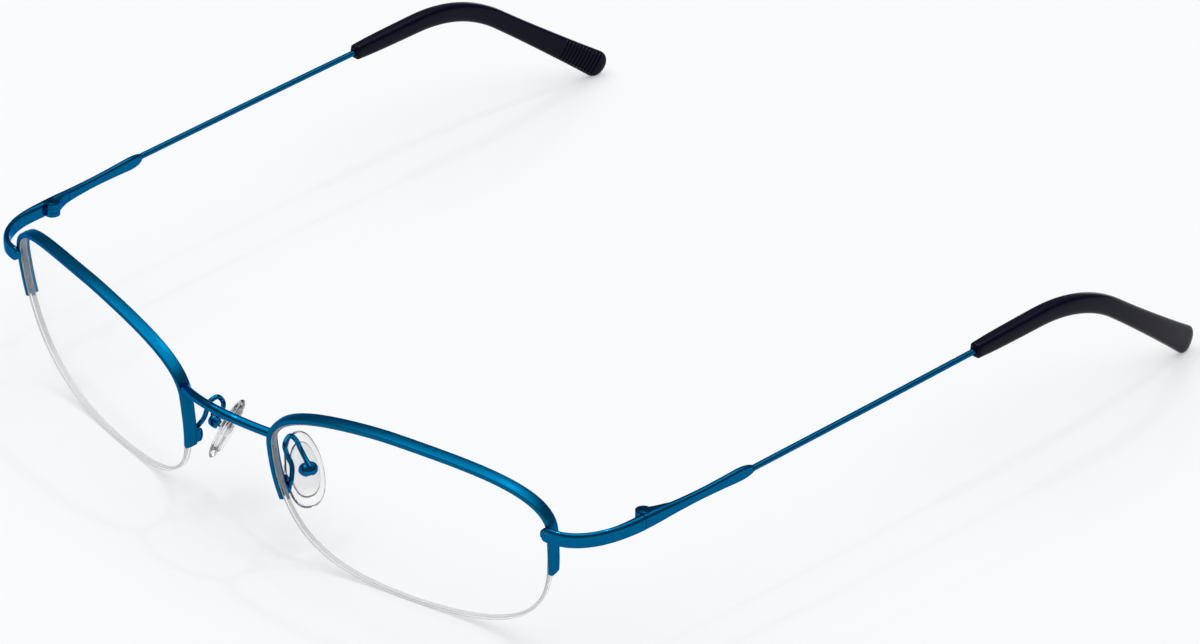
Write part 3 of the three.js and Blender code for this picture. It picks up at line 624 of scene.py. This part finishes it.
# %% [markdown]
# The liner fills the channel and reaches into the groove, with a hair of play all round.
# %% Liner
half, deep = GROOVE_WIDTH / 2 - SEAT, -GROOVE_DEPTH + SEAT
liner_profile = [
    (deep, GROOVE_MIDDLE - half + 0.1), (deep + 0.1, GROOVE_MIDDLE - half),
    (CHANNEL - 0.1, GROOVE_MIDDLE - half), (CHANNEL, GROOVE_MIDDLE - half + 0.1),
    (CHANNEL, GROOVE_MIDDLE + half - 0.1), (CHANNEL - 0.1, GROOVE_MIDDLE + half),
    (deep + 0.1, GROOVE_MIDDLE + half), (deep, GROOVE_MIDDLE + half - 0.1),
]
CORD_TUCK, CORD_RADIUS = 0.2, 0.25
LINER_END = CORD_TUCK + 0.005
liner = along_outline("left_liner", liner_profile, RIM_START + LINER_END, RIM_END - LINER_END, 90)
dress_pair(liner, "front", "rim_liner", "nylon_liner", nylon_strip)


# %% [markdown]
# The cord lies on the bottom of the groove, and rises into the channel where the rim begins.
# %% Cord
def cord_height(t):
    inside = max(RIM_END - t, t - 4 - RIM_START, 0) / CORD_TUCK
    share = min(inside / 0.7, 1)
    rise = share * share * (3 - 2 * share)
    lying, risen = -GROOVE_DEPTH + SEAT + CORD_RADIUS, CHANNEL - CORD_RADIUS
    return lying + (risen - lying) * rise


cord_rings = [
    [on_eye(t, cord_height(t) + CORD_RADIUS * math.cos(turn),
            GROOVE_MIDDLE + CORD_RADIUS * math.sin(turn))
     for turn in (2 * math.pi * i / 12 for i in range(12))]
    for t in spaced(RIM_END - CORD_TUCK, 4 + RIM_START + CORD_TUCK, 90)
]
cord = skin("left_lens_cord", cord_rings, 60)
dress_pair(cord, "front", "lens_cord", "nylon_cord", nylon_cord)

# %% [markdown]
# ## Bridge
# The bridge is one round wire, arched forwards and a little upwards, soldered to the outside
# of both rims. A bent cylinder could do, but a path follows the arch exactly and keeps the
# wire round.
# %% Bridge
BRIDGE_WIRE, BRIDGE_FORWARDS, BRIDGE_RISE = 1.5, 2.5, 1.25
BRIDGE_AT, BRIDGE_BACK = 1.94, 0.78
bridge_foot = on_eye(BRIDGE_AT, SEAT + 0.9 * RIM_THICKNESS, BRIDGE_BACK)
bridge_points = []
for i in range(49):
    share = -1 + 2 * i / 48
    arch = 1 - share * share
    bridge_points.append(Vector((bridge_foot.x * 0.985 * share,
                                 bridge_foot.y - BRIDGE_FORWARDS * arch,
                                 bridge_foot.z + BRIDGE_RISE * arch)))
bridge = wire("bridge_wire", bridge_points, BRIDGE_WIRE, 16)
dress(bridge, "front", "bridge", "blue_metal", blue_lacquer)

# %% [markdown]
# ## End pieces and temple bars
# These are flat-sided bars with a rounded top. The end piece sweeps round from the rim to the
# hinge, and the temple bar goes on from it, narrows to a waist and swells again where the wire
# is soldered in. One section, in two sizes, makes both, set out across the bar's own line.
# %% Bar section
hinge = Vector(joints["fold_left"]["pos_m"]) / MM
SPLAY = math.radians(2.4)
temple_way = Vector((math.sin(SPLAY), math.cos(SPLAY), 0))
temple_out = Vector((math.cos(SPLAY), -math.sin(SPLAY), 0))
OUTER_FACE, SEAM_AHEAD, RUNNING = 1.8, 1.1, 0.06
KNUCKLE, BARREL_HEIGHT, MIDDLE_KNUCKLE = 1.25, 2.2, 0.7
print("left hinge at", hinge)


def bar_section(height, thickness):
    low = -height / 2
    flat = low + 0.52 * height
    soft = min(0.14, thickness / 3)
    points = [(-soft, low), (-soft * 0.3, low + soft * 0.3), (0, low + soft), (0, flat)]
    for i in range(1, 12):
        turn = math.pi * i / 12
        wide = math.copysign(abs(math.cos(turn)) ** 0.8, math.cos(turn))
        points.append((thickness / 2 * (wide - 1),
                       flat + (height / 2 - flat) * math.sin(turn) ** 0.9))
    return points + [(-thickness, flat), (-thickness, low + soft),
                     (-thickness + soft * 0.3, low + soft * 0.3), (-thickness + soft, low)]


# %% [markdown]
# Each ring stands across the way the bar goes there. The sweep of the end piece is a curve
# with four handles, and a cylinder on the hinge's line makes or cuts every knuckle.
# %% Rings and curves for the bars
def bar_ring(outer, way, section):
    out = Vector((way.y, -way.x, 0))
    return [outer + out * x + Vector((0, 0, z)) for x, z in section]


def bezier(points, t):
    rest = 1 - t
    a, b, c, d = points
    return rest ** 3 * a + 3 * rest * rest * t * b + 3 * rest * t * t * c + t ** 3 * d


def barrel(radius, height, z=0.0, name="barrel"):
    """A cylinder on the hinge's line, for the knuckles, the screw and the cuts round them."""
    start_alone()
    bpy.ops.mesh.primitive_cylinder_add(
        vertices=64, radius=radius * MM, depth=height * MM,
        location=(hinge + Vector((0, 0, z))) * MM)
    bpy.ops.object.transform_apply(location=True, rotation=False, scale=False)
    obj = bpy.context.active_object
    obj.name = obj.data.name = name
    return obj


# %% [markdown]
# The end piece laps over the rim with a rounded nose, runs out sideways, sweeps back, and grows
# thicker towards the hinge. It is skinned along a curve with four handles, which gives the
# sweep an even bend, and a cylinder then cuts room for the barrel.
# %% End piece
BAR_HEIGHT, THIN_BAR, THICK_BAR, NOSE_SHARE, ROOM = 2.3, 1.05, 1.5, 0.045, 6
STRAIGHT_START, STRAIGHT_END = 5.9, 8
LAP_AT, LAP_STEP = 0.03, Vector((-0.4, -0.95, 0.25))
seam_outer = hinge + temple_out * OUTER_FACE - temple_way * SEAM_AHEAD
end = seam_outer - temple_way * RUNNING
start = on_eye(LAP_AT, 0, -RIM_PROUD) + LAP_STEP
plan = [start, start + Vector((STRAIGHT_START, 0, 0)),
        Vector((end.x, end.y, hinge.z)) - temple_way * STRAIGHT_END,
        Vector((end.x, end.y, hinge.z))]
fine = [bezier(plan, i / 200) for i in range(201)]
reach = [0.0]
for a, b in zip(fine, fine[1:]):
    reach.append(reach[-1] + (b - a).length)
end_rings = []
for share in [0, 0.004, 0.01, 0.018, 0.03, NOSE_SHARE] + [0.06 + 0.94 * i / 44 for i in range(45)]:
    j = min(next(k for k, r in enumerate(reach) if r >= share * reach[-1] - 1e-9), 199)
    way = (fine[j + 1] - fine[j]).normalized()
    point = fine[j] if share < 1 else fine[200]
    nose = math.sqrt(max(0.25, min(1, 1 - (1 - min(share / NOSE_SHARE, 1)) ** 2)))
    grown = min(max((share - 0.6) / 0.4, 0), 1)
    grown = grown * grown * (3 - 2 * grown)
    thickness = THIN_BAR + (THICK_BAR - THIN_BAR) * grown
    end_rings.append(bar_ring(point, way, bar_section(BAR_HEIGHT * nose, thickness)))
end_piece = skin("left_end_piece", end_rings, 30)
cut(end_piece, barrel(KNUCKLE + RUNNING, ROOM))
dress_pair(end_piece, "front", "end_piece", "blue_metal", blue_lacquer)

# %% [markdown]
# The temple bar starts as thick as the end piece, narrows to a waist and swells again round
# the wire, where it ends in a blunt rounding. Its sizes are given at six places along it, and
# a smooth path through them gives the sizes in between.
# %% Temple bar
TEMPLE_RISE, BAR_LENGTH, BAR_ROUNDING = math.radians(0.87), 22.3, 3.3
bar_straight = BAR_LENGTH - BAR_ROUNDING
bar_shape = smooth_path([Vector((bar_straight * share, height, thickness)) for
                         share, height, thickness in
                         [(0, 2.3, 1.5), (0.16, 2.15, 1.45), (0.34, 1.75, 1.2),
                          (0.58, 1.55, 1.08), (0.82, 1.75, 1.08), (1, 2.05, 1.12)]], 40)


def centre_z(back):
    return 0.04 + back * math.tan(TEMPLE_RISE)


def bar_ring_at(y, height, thickness):
    back = -SEAM_AHEAD + RUNNING + y
    outer = hinge + temple_out * OUTER_FACE + temple_way * back + Vector((0, 0, centre_z(back)))
    return bar_ring(outer, temple_way, bar_section(height, thickness))


# %% [markdown]
# The blunt end is nine more rings, which shrink along a rounded outline.
# %% Skin the temple bar
BAR_END_HEIGHT, BAR_END_THICKNESS = 2.05, 1.12
bar_rings = [bar_ring_at(*p) for p in bar_shape]
for share in (0.15, 0.3, 0.45, 0.6, 0.72, 0.82, 0.9, 0.96, 1.0):
    narrow = math.sqrt(max(0.12, 1 - (share * 0.97) ** 2.4))
    bar_rings.append(bar_ring_at(bar_straight + BAR_ROUNDING * share, BAR_END_HEIGHT * narrow,
                                 BAR_END_THICKNESS * (0.35 + 0.65 * narrow)))
temple_bar = skin("left_temple_bar", bar_rings, 30)
cut(temple_bar, barrel(KNUCKLE + SEAT, ROOM))
dress_pair(temple_bar, "temple", "temple_bar", "blue_metal", blue_lacquer)

# %% [markdown]
# ## Hinges
# The hinge is three knuckles on one screw. The front leaf is a small tongue with the middle
# knuckle, and it is already right in the CAD model, so a merged copy of it gets broken edges
# and a smooth barrel.
# %% Front leaf
front_leaf = from_cad("hinge_front_l", "left_hinge_front", bevel=0.07)
dress_pair(front_leaf, "front", "hinge_front", "blue_metal", blue_lacquer)


# %% [markdown]
# The temple leaf is a tail that fairs into the bar, with a knuckle above and one below the
# middle one. The tail is skinned and joined to a cylinder, and two more cylinders cut the gap
# for the front leaf's knuckle and the seat of the screw head.
# %% Temple leaf
def on_temple(x, y, z):
    return hinge + temple_out * x + temple_way * y + Vector((0, 0, z))


TAIL_LENGTH, SCREW_HEAD = 4.4, 0.75
tail_rings = []
for y, inside, outside, height in ((0.0, -1.0, 0.75, 2.0), (0.6, -0.92, 0.75, 2.0),
                                   (1.05, -0.68, 0.75, 1.98), (1.5, -0.42, 0.75, 1.95),
                                   (2.1, -0.12, 0.75, 1.9), (2.8, 0.12, 0.75, 1.84),
                                   (3.6, 0.34, 0.75, 1.66), (4.4, 0.55, 0.75, 1.45)):
    lift = centre_z(y)
    half = height / 2
    soft = min(0.25, (outside - inside) / 3)
    tail_rings.append([on_temple(x, y, lift * y / TAIL_LENGTH + z) for x, z in (
        (inside, -half + soft), (inside + soft * 0.3, -half + soft * 0.3), (inside + soft, -half),
        (outside, -half), (outside, half), (inside + soft, half),
        (inside + soft * 0.3, half - soft * 0.3), (inside, half - soft))])
temple_leaf = barrel(KNUCKLE, BARREL_HEIGHT, name="left_hinge_temple")
tail = skin("tail", tail_rings, 40)
use_modifier(temple_leaf, "BOOLEAN", operation="UNION", object=tail, solver="EXACT")
bpy.data.objects.remove(tail)
cut(temple_leaf, barrel(KNUCKLE + RUNNING, MIDDLE_KNUCKLE + 2 * RUNNING))
cut(temple_leaf, barrel(SCREW_HEAD + SEAT, 0.6, BARREL_HEIGHT / 2))
use_modifier(temple_leaf, "BEVEL", width=0.06 * MM, segments=2, limit_method="ANGLE",
             angle_limit=math.radians(50))
close_up(temple_leaf, 40)
dress_pair(temple_leaf, "temple", "hinge_temple", "blue_metal", blue_lacquer)

# %% [markdown]
# The head of the screw sits in the top knuckle. Only the head and its slot can be seen, and
# the slot is what tells a screw from a rivet, so it is cut and not painted on.
# %% Hinge screw
HEAD_HEIGHT, HEAD_SUNK, SLOT_WIDTH, SLOT_DEPTH = 0.3, 0.17, 0.22, 0.2
screw = barrel(SCREW_HEAD, HEAD_HEIGHT, BARREL_HEIGHT / 2 - HEAD_SUNK, "left_hinge_screw")
use_modifier(screw, "BEVEL", width=0.08 * MM, segments=3, limit_method="ANGLE")
start_alone()
bpy.ops.mesh.primitive_cube_add(size=MM, location=on_temple(0, 0, BARREL_HEIGHT / 2) * MM,
                                scale=(3, SLOT_WIDTH, SLOT_DEPTH))
bpy.ops.object.transform_apply(location=True, rotation=False, scale=True)
cut(screw, bpy.context.active_object)
dress_pair(screw, "temple", "hinge_screw", "blue_metal", blue_lacquer)

# %% [markdown]
# ## Temple wires and tips
# A springy wire runs from the bar, nearly level, and down behind the ear inside the tip. Both
# the wire and the tip follow one line: straight, then an arc, then straight again, seen from
# the side, and curled in a little towards the head, seen from above.
# %% The temple's line
TIP_START, BEND_AT, BEND_RADIUS, DROP = 69, 93.7, 31, math.radians(36.3)
BEND_TURN = TEMPLE_RISE + DROP
ARC_START = BEND_AT - BEND_RADIUS * math.tan(BEND_TURN / 2)
ARC_LENGTH = BEND_RADIUS * BEND_TURN
print("temple bends from", ARC_START, "to", ARC_START + ARC_LENGTH, "mm")


def temple_plane(s):
    if s <= ARC_START:
        return s * math.cos(TEMPLE_RISE), centre_z(s * math.cos(TEMPLE_RISE))
    y, z = temple_plane(ARC_START)
    heading = TEMPLE_RISE - min(s - ARC_START, ARC_LENGTH) / BEND_RADIUS
    y += BEND_RADIUS * (math.sin(TEMPLE_RISE) - math.sin(heading))
    z += BEND_RADIUS * (math.cos(heading) - math.cos(TEMPLE_RISE))
    beyond = max(0, s - ARC_START - ARC_LENGTH)
    return y + math.cos(heading) * beyond, z + math.sin(heading) * beyond


def temple_line(s):
    y, z = temple_plane(s)
    out = min(max((y - BAR_LENGTH) / (BEND_AT - BAR_LENGTH), -0.3), 1)
    curl = max(0, y - BEND_AT + 2) / 30
    x = (1.45 + BAR_LENGTH * math.sin(SPLAY) + 0.9 * math.sin(math.pi / 2 * out)
         - 2.7 * curl * curl)
    return hinge + Vector((x, y, z))


# %% [markdown]
# The wire starts inside the bar, where it is soldered, and goes on as the core of the ear tip.
# %% Temple wire
TEMPLE_WIRE, SOCKET, CORE = 1.0, 1.5, 36
wire_start, wire_end = BAR_LENGTH - SOCKET, TIP_START + CORE
wire_points = [temple_line(wire_start + (wire_end - wire_start) * i / 90) for i in range(91)]
temple_wire = wire("left_temple_wire", wire_points, TEMPLE_WIRE, 16)
dress_pair(temple_wire, "temple", "temple_wire", "blue_metal", blue_lacquer)

# %% [markdown]
# The ear tip is moulded plastic: bevelled at its start, fuller over the ear, broad and thin at
# the end, with fine cross grooves on the inside that grip behind the ear. The grooves could be
# a bump in the finish, but real ones catch the light. Its sizes are given at seven places.
# %% Size of the ear tip
TIP_END_HEIGHT = 4.7
drop_z = hinge.z + temple_plane(ARC_START + ARC_LENGTH)[1]
TIP_END = ARC_START + ARC_LENGTH + (drop_z - TIP_END_HEIGHT / 2) / math.sin(DROP)
print("ear tip", TIP_END - TIP_START, "mm long")
tip_stations = [(TIP_START, 2.5, 2.05), (TIP_START + 5, 2.9, 2.3), (ARC_START, 3.15, 2.4),
                (BEND_AT + 3, 3.25, 2.25), (ARC_START + ARC_LENGTH + 6, 3.4, 2.05),
                (TIP_END - 7, 4.1, 1.9), (TIP_END, TIP_END_HEIGHT, 1.75)]
tip_shape = smooth_path([Vector(p) for p in tip_stations], 60)


def tip_size(s):
    """Height and thickness of the tip at any place along it."""
    j = next((k for k, p in enumerate(tip_shape) if p.x >= s), len(tip_shape) - 1)
    a, b = tip_shape[max(j - 1, 0)], tip_shape[j]
    size = a.lerp(b, (s - a.x) / max(b.x - a.x, 1e-6))
    return size.y, size.z


# %% [markdown]
# The section lies between an oval and a box. Only its inner side moves when a groove is pressed
# into it.
# %% Ring of the ear tip
def tip_ring(s, height, thickness, square=0.62, sides=40, groove=0.0):
    centre = temple_line(s)
    along = (temple_line(s + 0.05) - temple_line(s - 0.05)).normalized()
    across = along.cross(Vector((0, 0, 1))).normalized()
    up = across.cross(along).normalized()
    ring = []
    for i in range(sides):
        turn = 2 * math.pi * (i + 0.5) / sides
        c, n = math.cos(turn), math.sin(turn)
        x = math.copysign(abs(c) ** square, c) * thickness / 2
        z = math.copysign(abs(n) ** square, n) * height / 2
        if x < 0 and abs(z) < 0.42 * height:
            x += groove
        ring.append(centre + across * x + up * z)
    return ring


# %% [markdown]
# The tip starts with a small bevel round the wire, and its end is rounded with eight shrinking
# rings. Each groove is four rings, the middle two pushed in.
# %% Skin the ear tip
GROOVES, GROOVE_STEP, FIRST_GROOVE, PRESSED = 11, 0.82, TIP_END - 8.6, 0.15
GROOVE_SHAPE = ((-0.26, 0.0), (-0.12, PRESSED), (0.14, PRESSED), (0.22, 0.0))
grooves = [FIRST_GROOVE + GROOVE_STEP * i for i in range(GROOVES)]
tip_rings = [tip_ring(TIP_START + 0.5, 1.16, 1.16, 1), tip_ring(TIP_START, 1.2, 1.2, 1),
             tip_ring(TIP_START, 1.75, 1.5, 0.9), tip_ring(TIP_START + 0.35, 2.45, 2.05),
             tip_ring(TIP_START + 0.7, *tip_size(TIP_START + 0.7))]
tip_rings += [tip_ring(p.x, *tip_size(p.x)) for p in tip_shape
              if TIP_START + 1 < p.x < FIRST_GROOVE - 0.3]
tip_rings += [tip_ring(at + along, *tip_size(at + along), groove=deep)
              for at in grooves for along, deep in GROOVE_SHAPE]
last = tip_shape[-1]
for turn in (0, 15, 30, 45, 58, 70, 80, 87):
    swing = math.radians(turn)
    tip_rings.append(tip_ring(last.x + 0.88 * last.y / 2 * math.sin(swing),
                              last.y * math.cos(swing), last.z * math.sqrt(math.cos(swing))))
tip = skin("left_temple_tip", tip_rings, 40)

# %% [markdown]
# The walls of the grooves that face the end of the tip get a lighter finish: a painted highlight
# for the bright lines that the light draws along the grooves.
# %% Finish the grooves
tip.data.materials.append(tip_plastic)
tip.data.materials.append(tip_groove_highlight)
for groove in grooves:
    spot = temple_line(groove - 0.19)
    along = (temple_line(groove - 0.14) - temple_line(groove - 0.24)).normalized()
    for face in tip.data.polygons:
        away = face.center / MM - spot
        if abs(away.dot(along)) < 0.04 and away.x < -0.5 and face.normal.dot(along) > 0.3:
            face.material_index = 1
print(sum(face.material_index for face in tip.data.polygons), "groove faces")
dress_pair(tip, "temple", "temple_tip", "tip_acetate")

# %% [markdown]
# ## Nose pads
# A clear soft pad is moulded round a stiff insert whose lug sits in a small metal box on a
# screw, so the pad can rock. The box hangs on a looped wire that can be bent to fit the nose.
# All of these lean with the side of the nose, so they are set out in a frame of their own. It
# takes its place and its screw's line from the joint, and the pad's lean gives its upright.
# %% Pad frame
pad_joint = joints["rock_pad_left"]
box_centre = Vector(pad_joint["pos_m"]) / MM
screw_way = Vector(pad_joint["axis"]).normalized()
pad_lean = Vector((-0.354, 0.268, 0.896)).normalized()
pad_out = screw_way.cross(pad_lean).normalized()
pad_up = pad_out.cross(screw_way).normalized()
print("left pad turns about", box_centre)


def on_pad(x, y, z):
    return box_centre + pad_out * x + screw_way * y + pad_up * z


# %% [markdown]
# The soft pad is a rounded drop, wider at its foot. A ball could be squashed to it, but rings
# let the outline and the bulge be set apart.
# %% Soft pad
PAD_LENGTH, PAD_WIDTH, PAD_THICKNESS = 12.0, 6.4, 1.8
PAD_OUT, PAD_DOWN = -2.08, -0.2


def pad_ring(out, scale, sides=48):
    ring = []
    for i in range(sides):
        turn = 2 * math.pi * i / sides
        c, n = math.cos(turn), math.sin(turn)
        wide = math.copysign(abs(c) ** 0.85, c) * (1 - 0.1 * n)
        ring.append(on_pad(PAD_OUT + out, PAD_WIDTH / 2 * scale * wide,
                           PAD_DOWN + PAD_LENGTH / 2 * scale * n))
    return ring


pad_rings = []
for i in range(17):
    turn = math.radians(-84 + 168 * i / 16)
    pad_rings.append(pad_ring(PAD_THICKNESS / 2 * math.sin(turn), math.cos(turn) ** 0.6))
nose_pad = skin("left_nose_pad", pad_rings, 60)
dress_pair(nose_pad, "pad", "nose_pad", "pad_silicone", pad_silicone)

# %% [markdown]
# The insert is a smaller plate of the same outline inside the pad, with a square lug that
# comes out of the pad's back and into the box. The two are joined, because they are moulded
# in one.
# %% Insert
INSERT_THICKNESS, INSERT_SHARE, LUG_HALF_WIDTH, LUG_HALF_HEIGHT = 0.7, 0.72, 0.45, 0.55


def pad_block(name, wide, high, stations, angle=35):
    """A square block, for the lug and for the mouth that it goes into."""
    corners = ((-wide, -high), (wide, -high), (wide, high), (-wide, high))
    return skin(name, [[on_pad(x, y, z) for y, z in corners] for x in stations], angle)


insert_rings = []
for i in range(9):
    turn = math.radians(-80 + 160 * i / 8)
    insert_rings.append(pad_ring(INSERT_THICKNESS / 2 * math.sin(turn),
                                 INSERT_SHARE * (0.9 + 0.1 * math.cos(turn))))
insert = skin("left_pad_insert", insert_rings, 60)
lug = pad_block("lug", LUG_HALF_WIDTH, LUG_HALF_HEIGHT, (-1.8, -1.0, 0.55), 30)
use_modifier(insert, "BOOLEAN", operation="UNION", object=lug, solver="EXACT")
bpy.data.objects.remove(lug)
close_up(insert, 50)
dress_pair(insert, "pad", "pad_core", "pad_core", pad_insert)


# %% [markdown]
# The pad box is a small rounded cup with a mouth that takes the lug. A bevelled cube would
# look square, so it is skinned from round-ended rings that shrink towards its back.
# %% Pad box
def box_ring(x, length, height, sides=32):
    """Round-ended across the screw: length along it and height along the pad."""
    ring = []
    for i in range(sides):
        turn = 2 * math.pi * (i + 0.5) / sides
        c, n = math.cos(turn), math.sin(turn)
        straight = max(length - height, 0) / 2
        ring.append(on_pad(x, math.copysign(straight, c) + height / 2 * c, height / 2 * n))
    return ring


pad_box = skin("left_pad_box", [box_ring(x, length, height) for x, length, height in (
    (-0.7, 2.6, 1.8), (-0.64, 2.72, 1.95), (-0.45, 2.85, 2.1), (-0.1, 2.95, 2.2),
    (0.3, 2.95, 2.2), (0.6, 2.8, 2.05), (0.85, 2.5, 1.75), (1.03, 2.0, 1.3),
    (1.12, 1.3, 0.7))], 50)
cut(pad_box, pad_block("mouth", LUG_HALF_WIDTH + RUNNING, 2, (-1.2, 0.68)))
dress_pair(pad_box, "front", "pad_box", "blue_metal", blue_polish)

# %% [markdown]
# The pad screw goes across the box and through the lug. Only its two ends show.
# %% Pad screw
screw_rings = []
for y, radius in ((-1.5, 0.2), (-1.49, 0.34), (-1.42, 0.36), (1.42, 0.36), (1.49, 0.34),
                  (1.5, 0.2)):
    screw_rings.append([on_pad(radius * math.cos(math.radians(15 * i)), y,
                               radius * math.sin(math.radians(15 * i))) for i in range(24)])
pad_screw = skin("left_pad_screw", screw_rings, 40)
dress_pair(pad_screw, "front", "pad_screw", "blue_metal", blue_polish)

# %% [markdown]
# The pad arm is a wire that starts at a small foot soldered to the back of the rim, loops up
# and round, and flares where it meets the box. A smooth path through nine points gives the
# loop, which would be hard to describe with arcs.
# %% Pad arm
nose_side = on_eye(2, 0, 0)
rim_back = RIM_DEPTH - RIM_PROUD
middle = SEAT + 0.65 * RIM_THICKNESS
arm_points = smooth_path([
    on_eye(RIM_END - 0.02, middle, rim_back + 0.5),
    nose_side + Vector((0.52, 3.45, -7.66)), nose_side + Vector((-0.3, 4.45, -5.7)),
    nose_side + Vector((-1.2, 4.3, -3.9)), nose_side + Vector((-1.65, 4.35, -2.35)),
    nose_side + Vector((-2.05, 5.75, -1.62)), nose_side + Vector((-2.0, 6.95, -2.81)),
    nose_side + Vector((-1.4, 7.45, -4.65)), box_centre + pad_out * 0.8 + pad_up * 0.45], 64)
ARM_WIRE = 0.8
pad_arm = wire("left_pad_arm", arm_points, ARM_WIRE, 14,
               swell=lambda t: 1 + 0.5 * max(0, (t - 0.93) / 0.07))

# %% [markdown]
# The foot is a small rounded lobe that follows the curve of the rim it is soldered to. A union
# makes wire and foot one piece.
# %% Foot of the pad arm
FOOT_HALF = 0.034
foot_rings = []
for i in range(9):
    swing = math.radians(-84 + 168 * i / 8)
    t = RIM_END - FOOT_HALF + FOOT_HALF * math.sin(swing)
    swell = math.sqrt(math.cos(swing))
    foot_rings.append([
        on_eye(t, 0.49 + 0.3 * swell * math.cos(turn),
               rim_back + 0.4 + 0.75 * swell * math.sin(turn))
        for turn in (2 * math.pi * k / 16 for k in range(16))])
foot = skin("foot", foot_rings, 40)
use_modifier(pad_arm, "BOOLEAN", operation="UNION", object=foot, solver="EXACT")
bpy.data.objects.remove(foot)
close_up(pad_arm, 45)
dress_pair(pad_arm, "front", "pad_arm", "blue_metal", blue_polish)
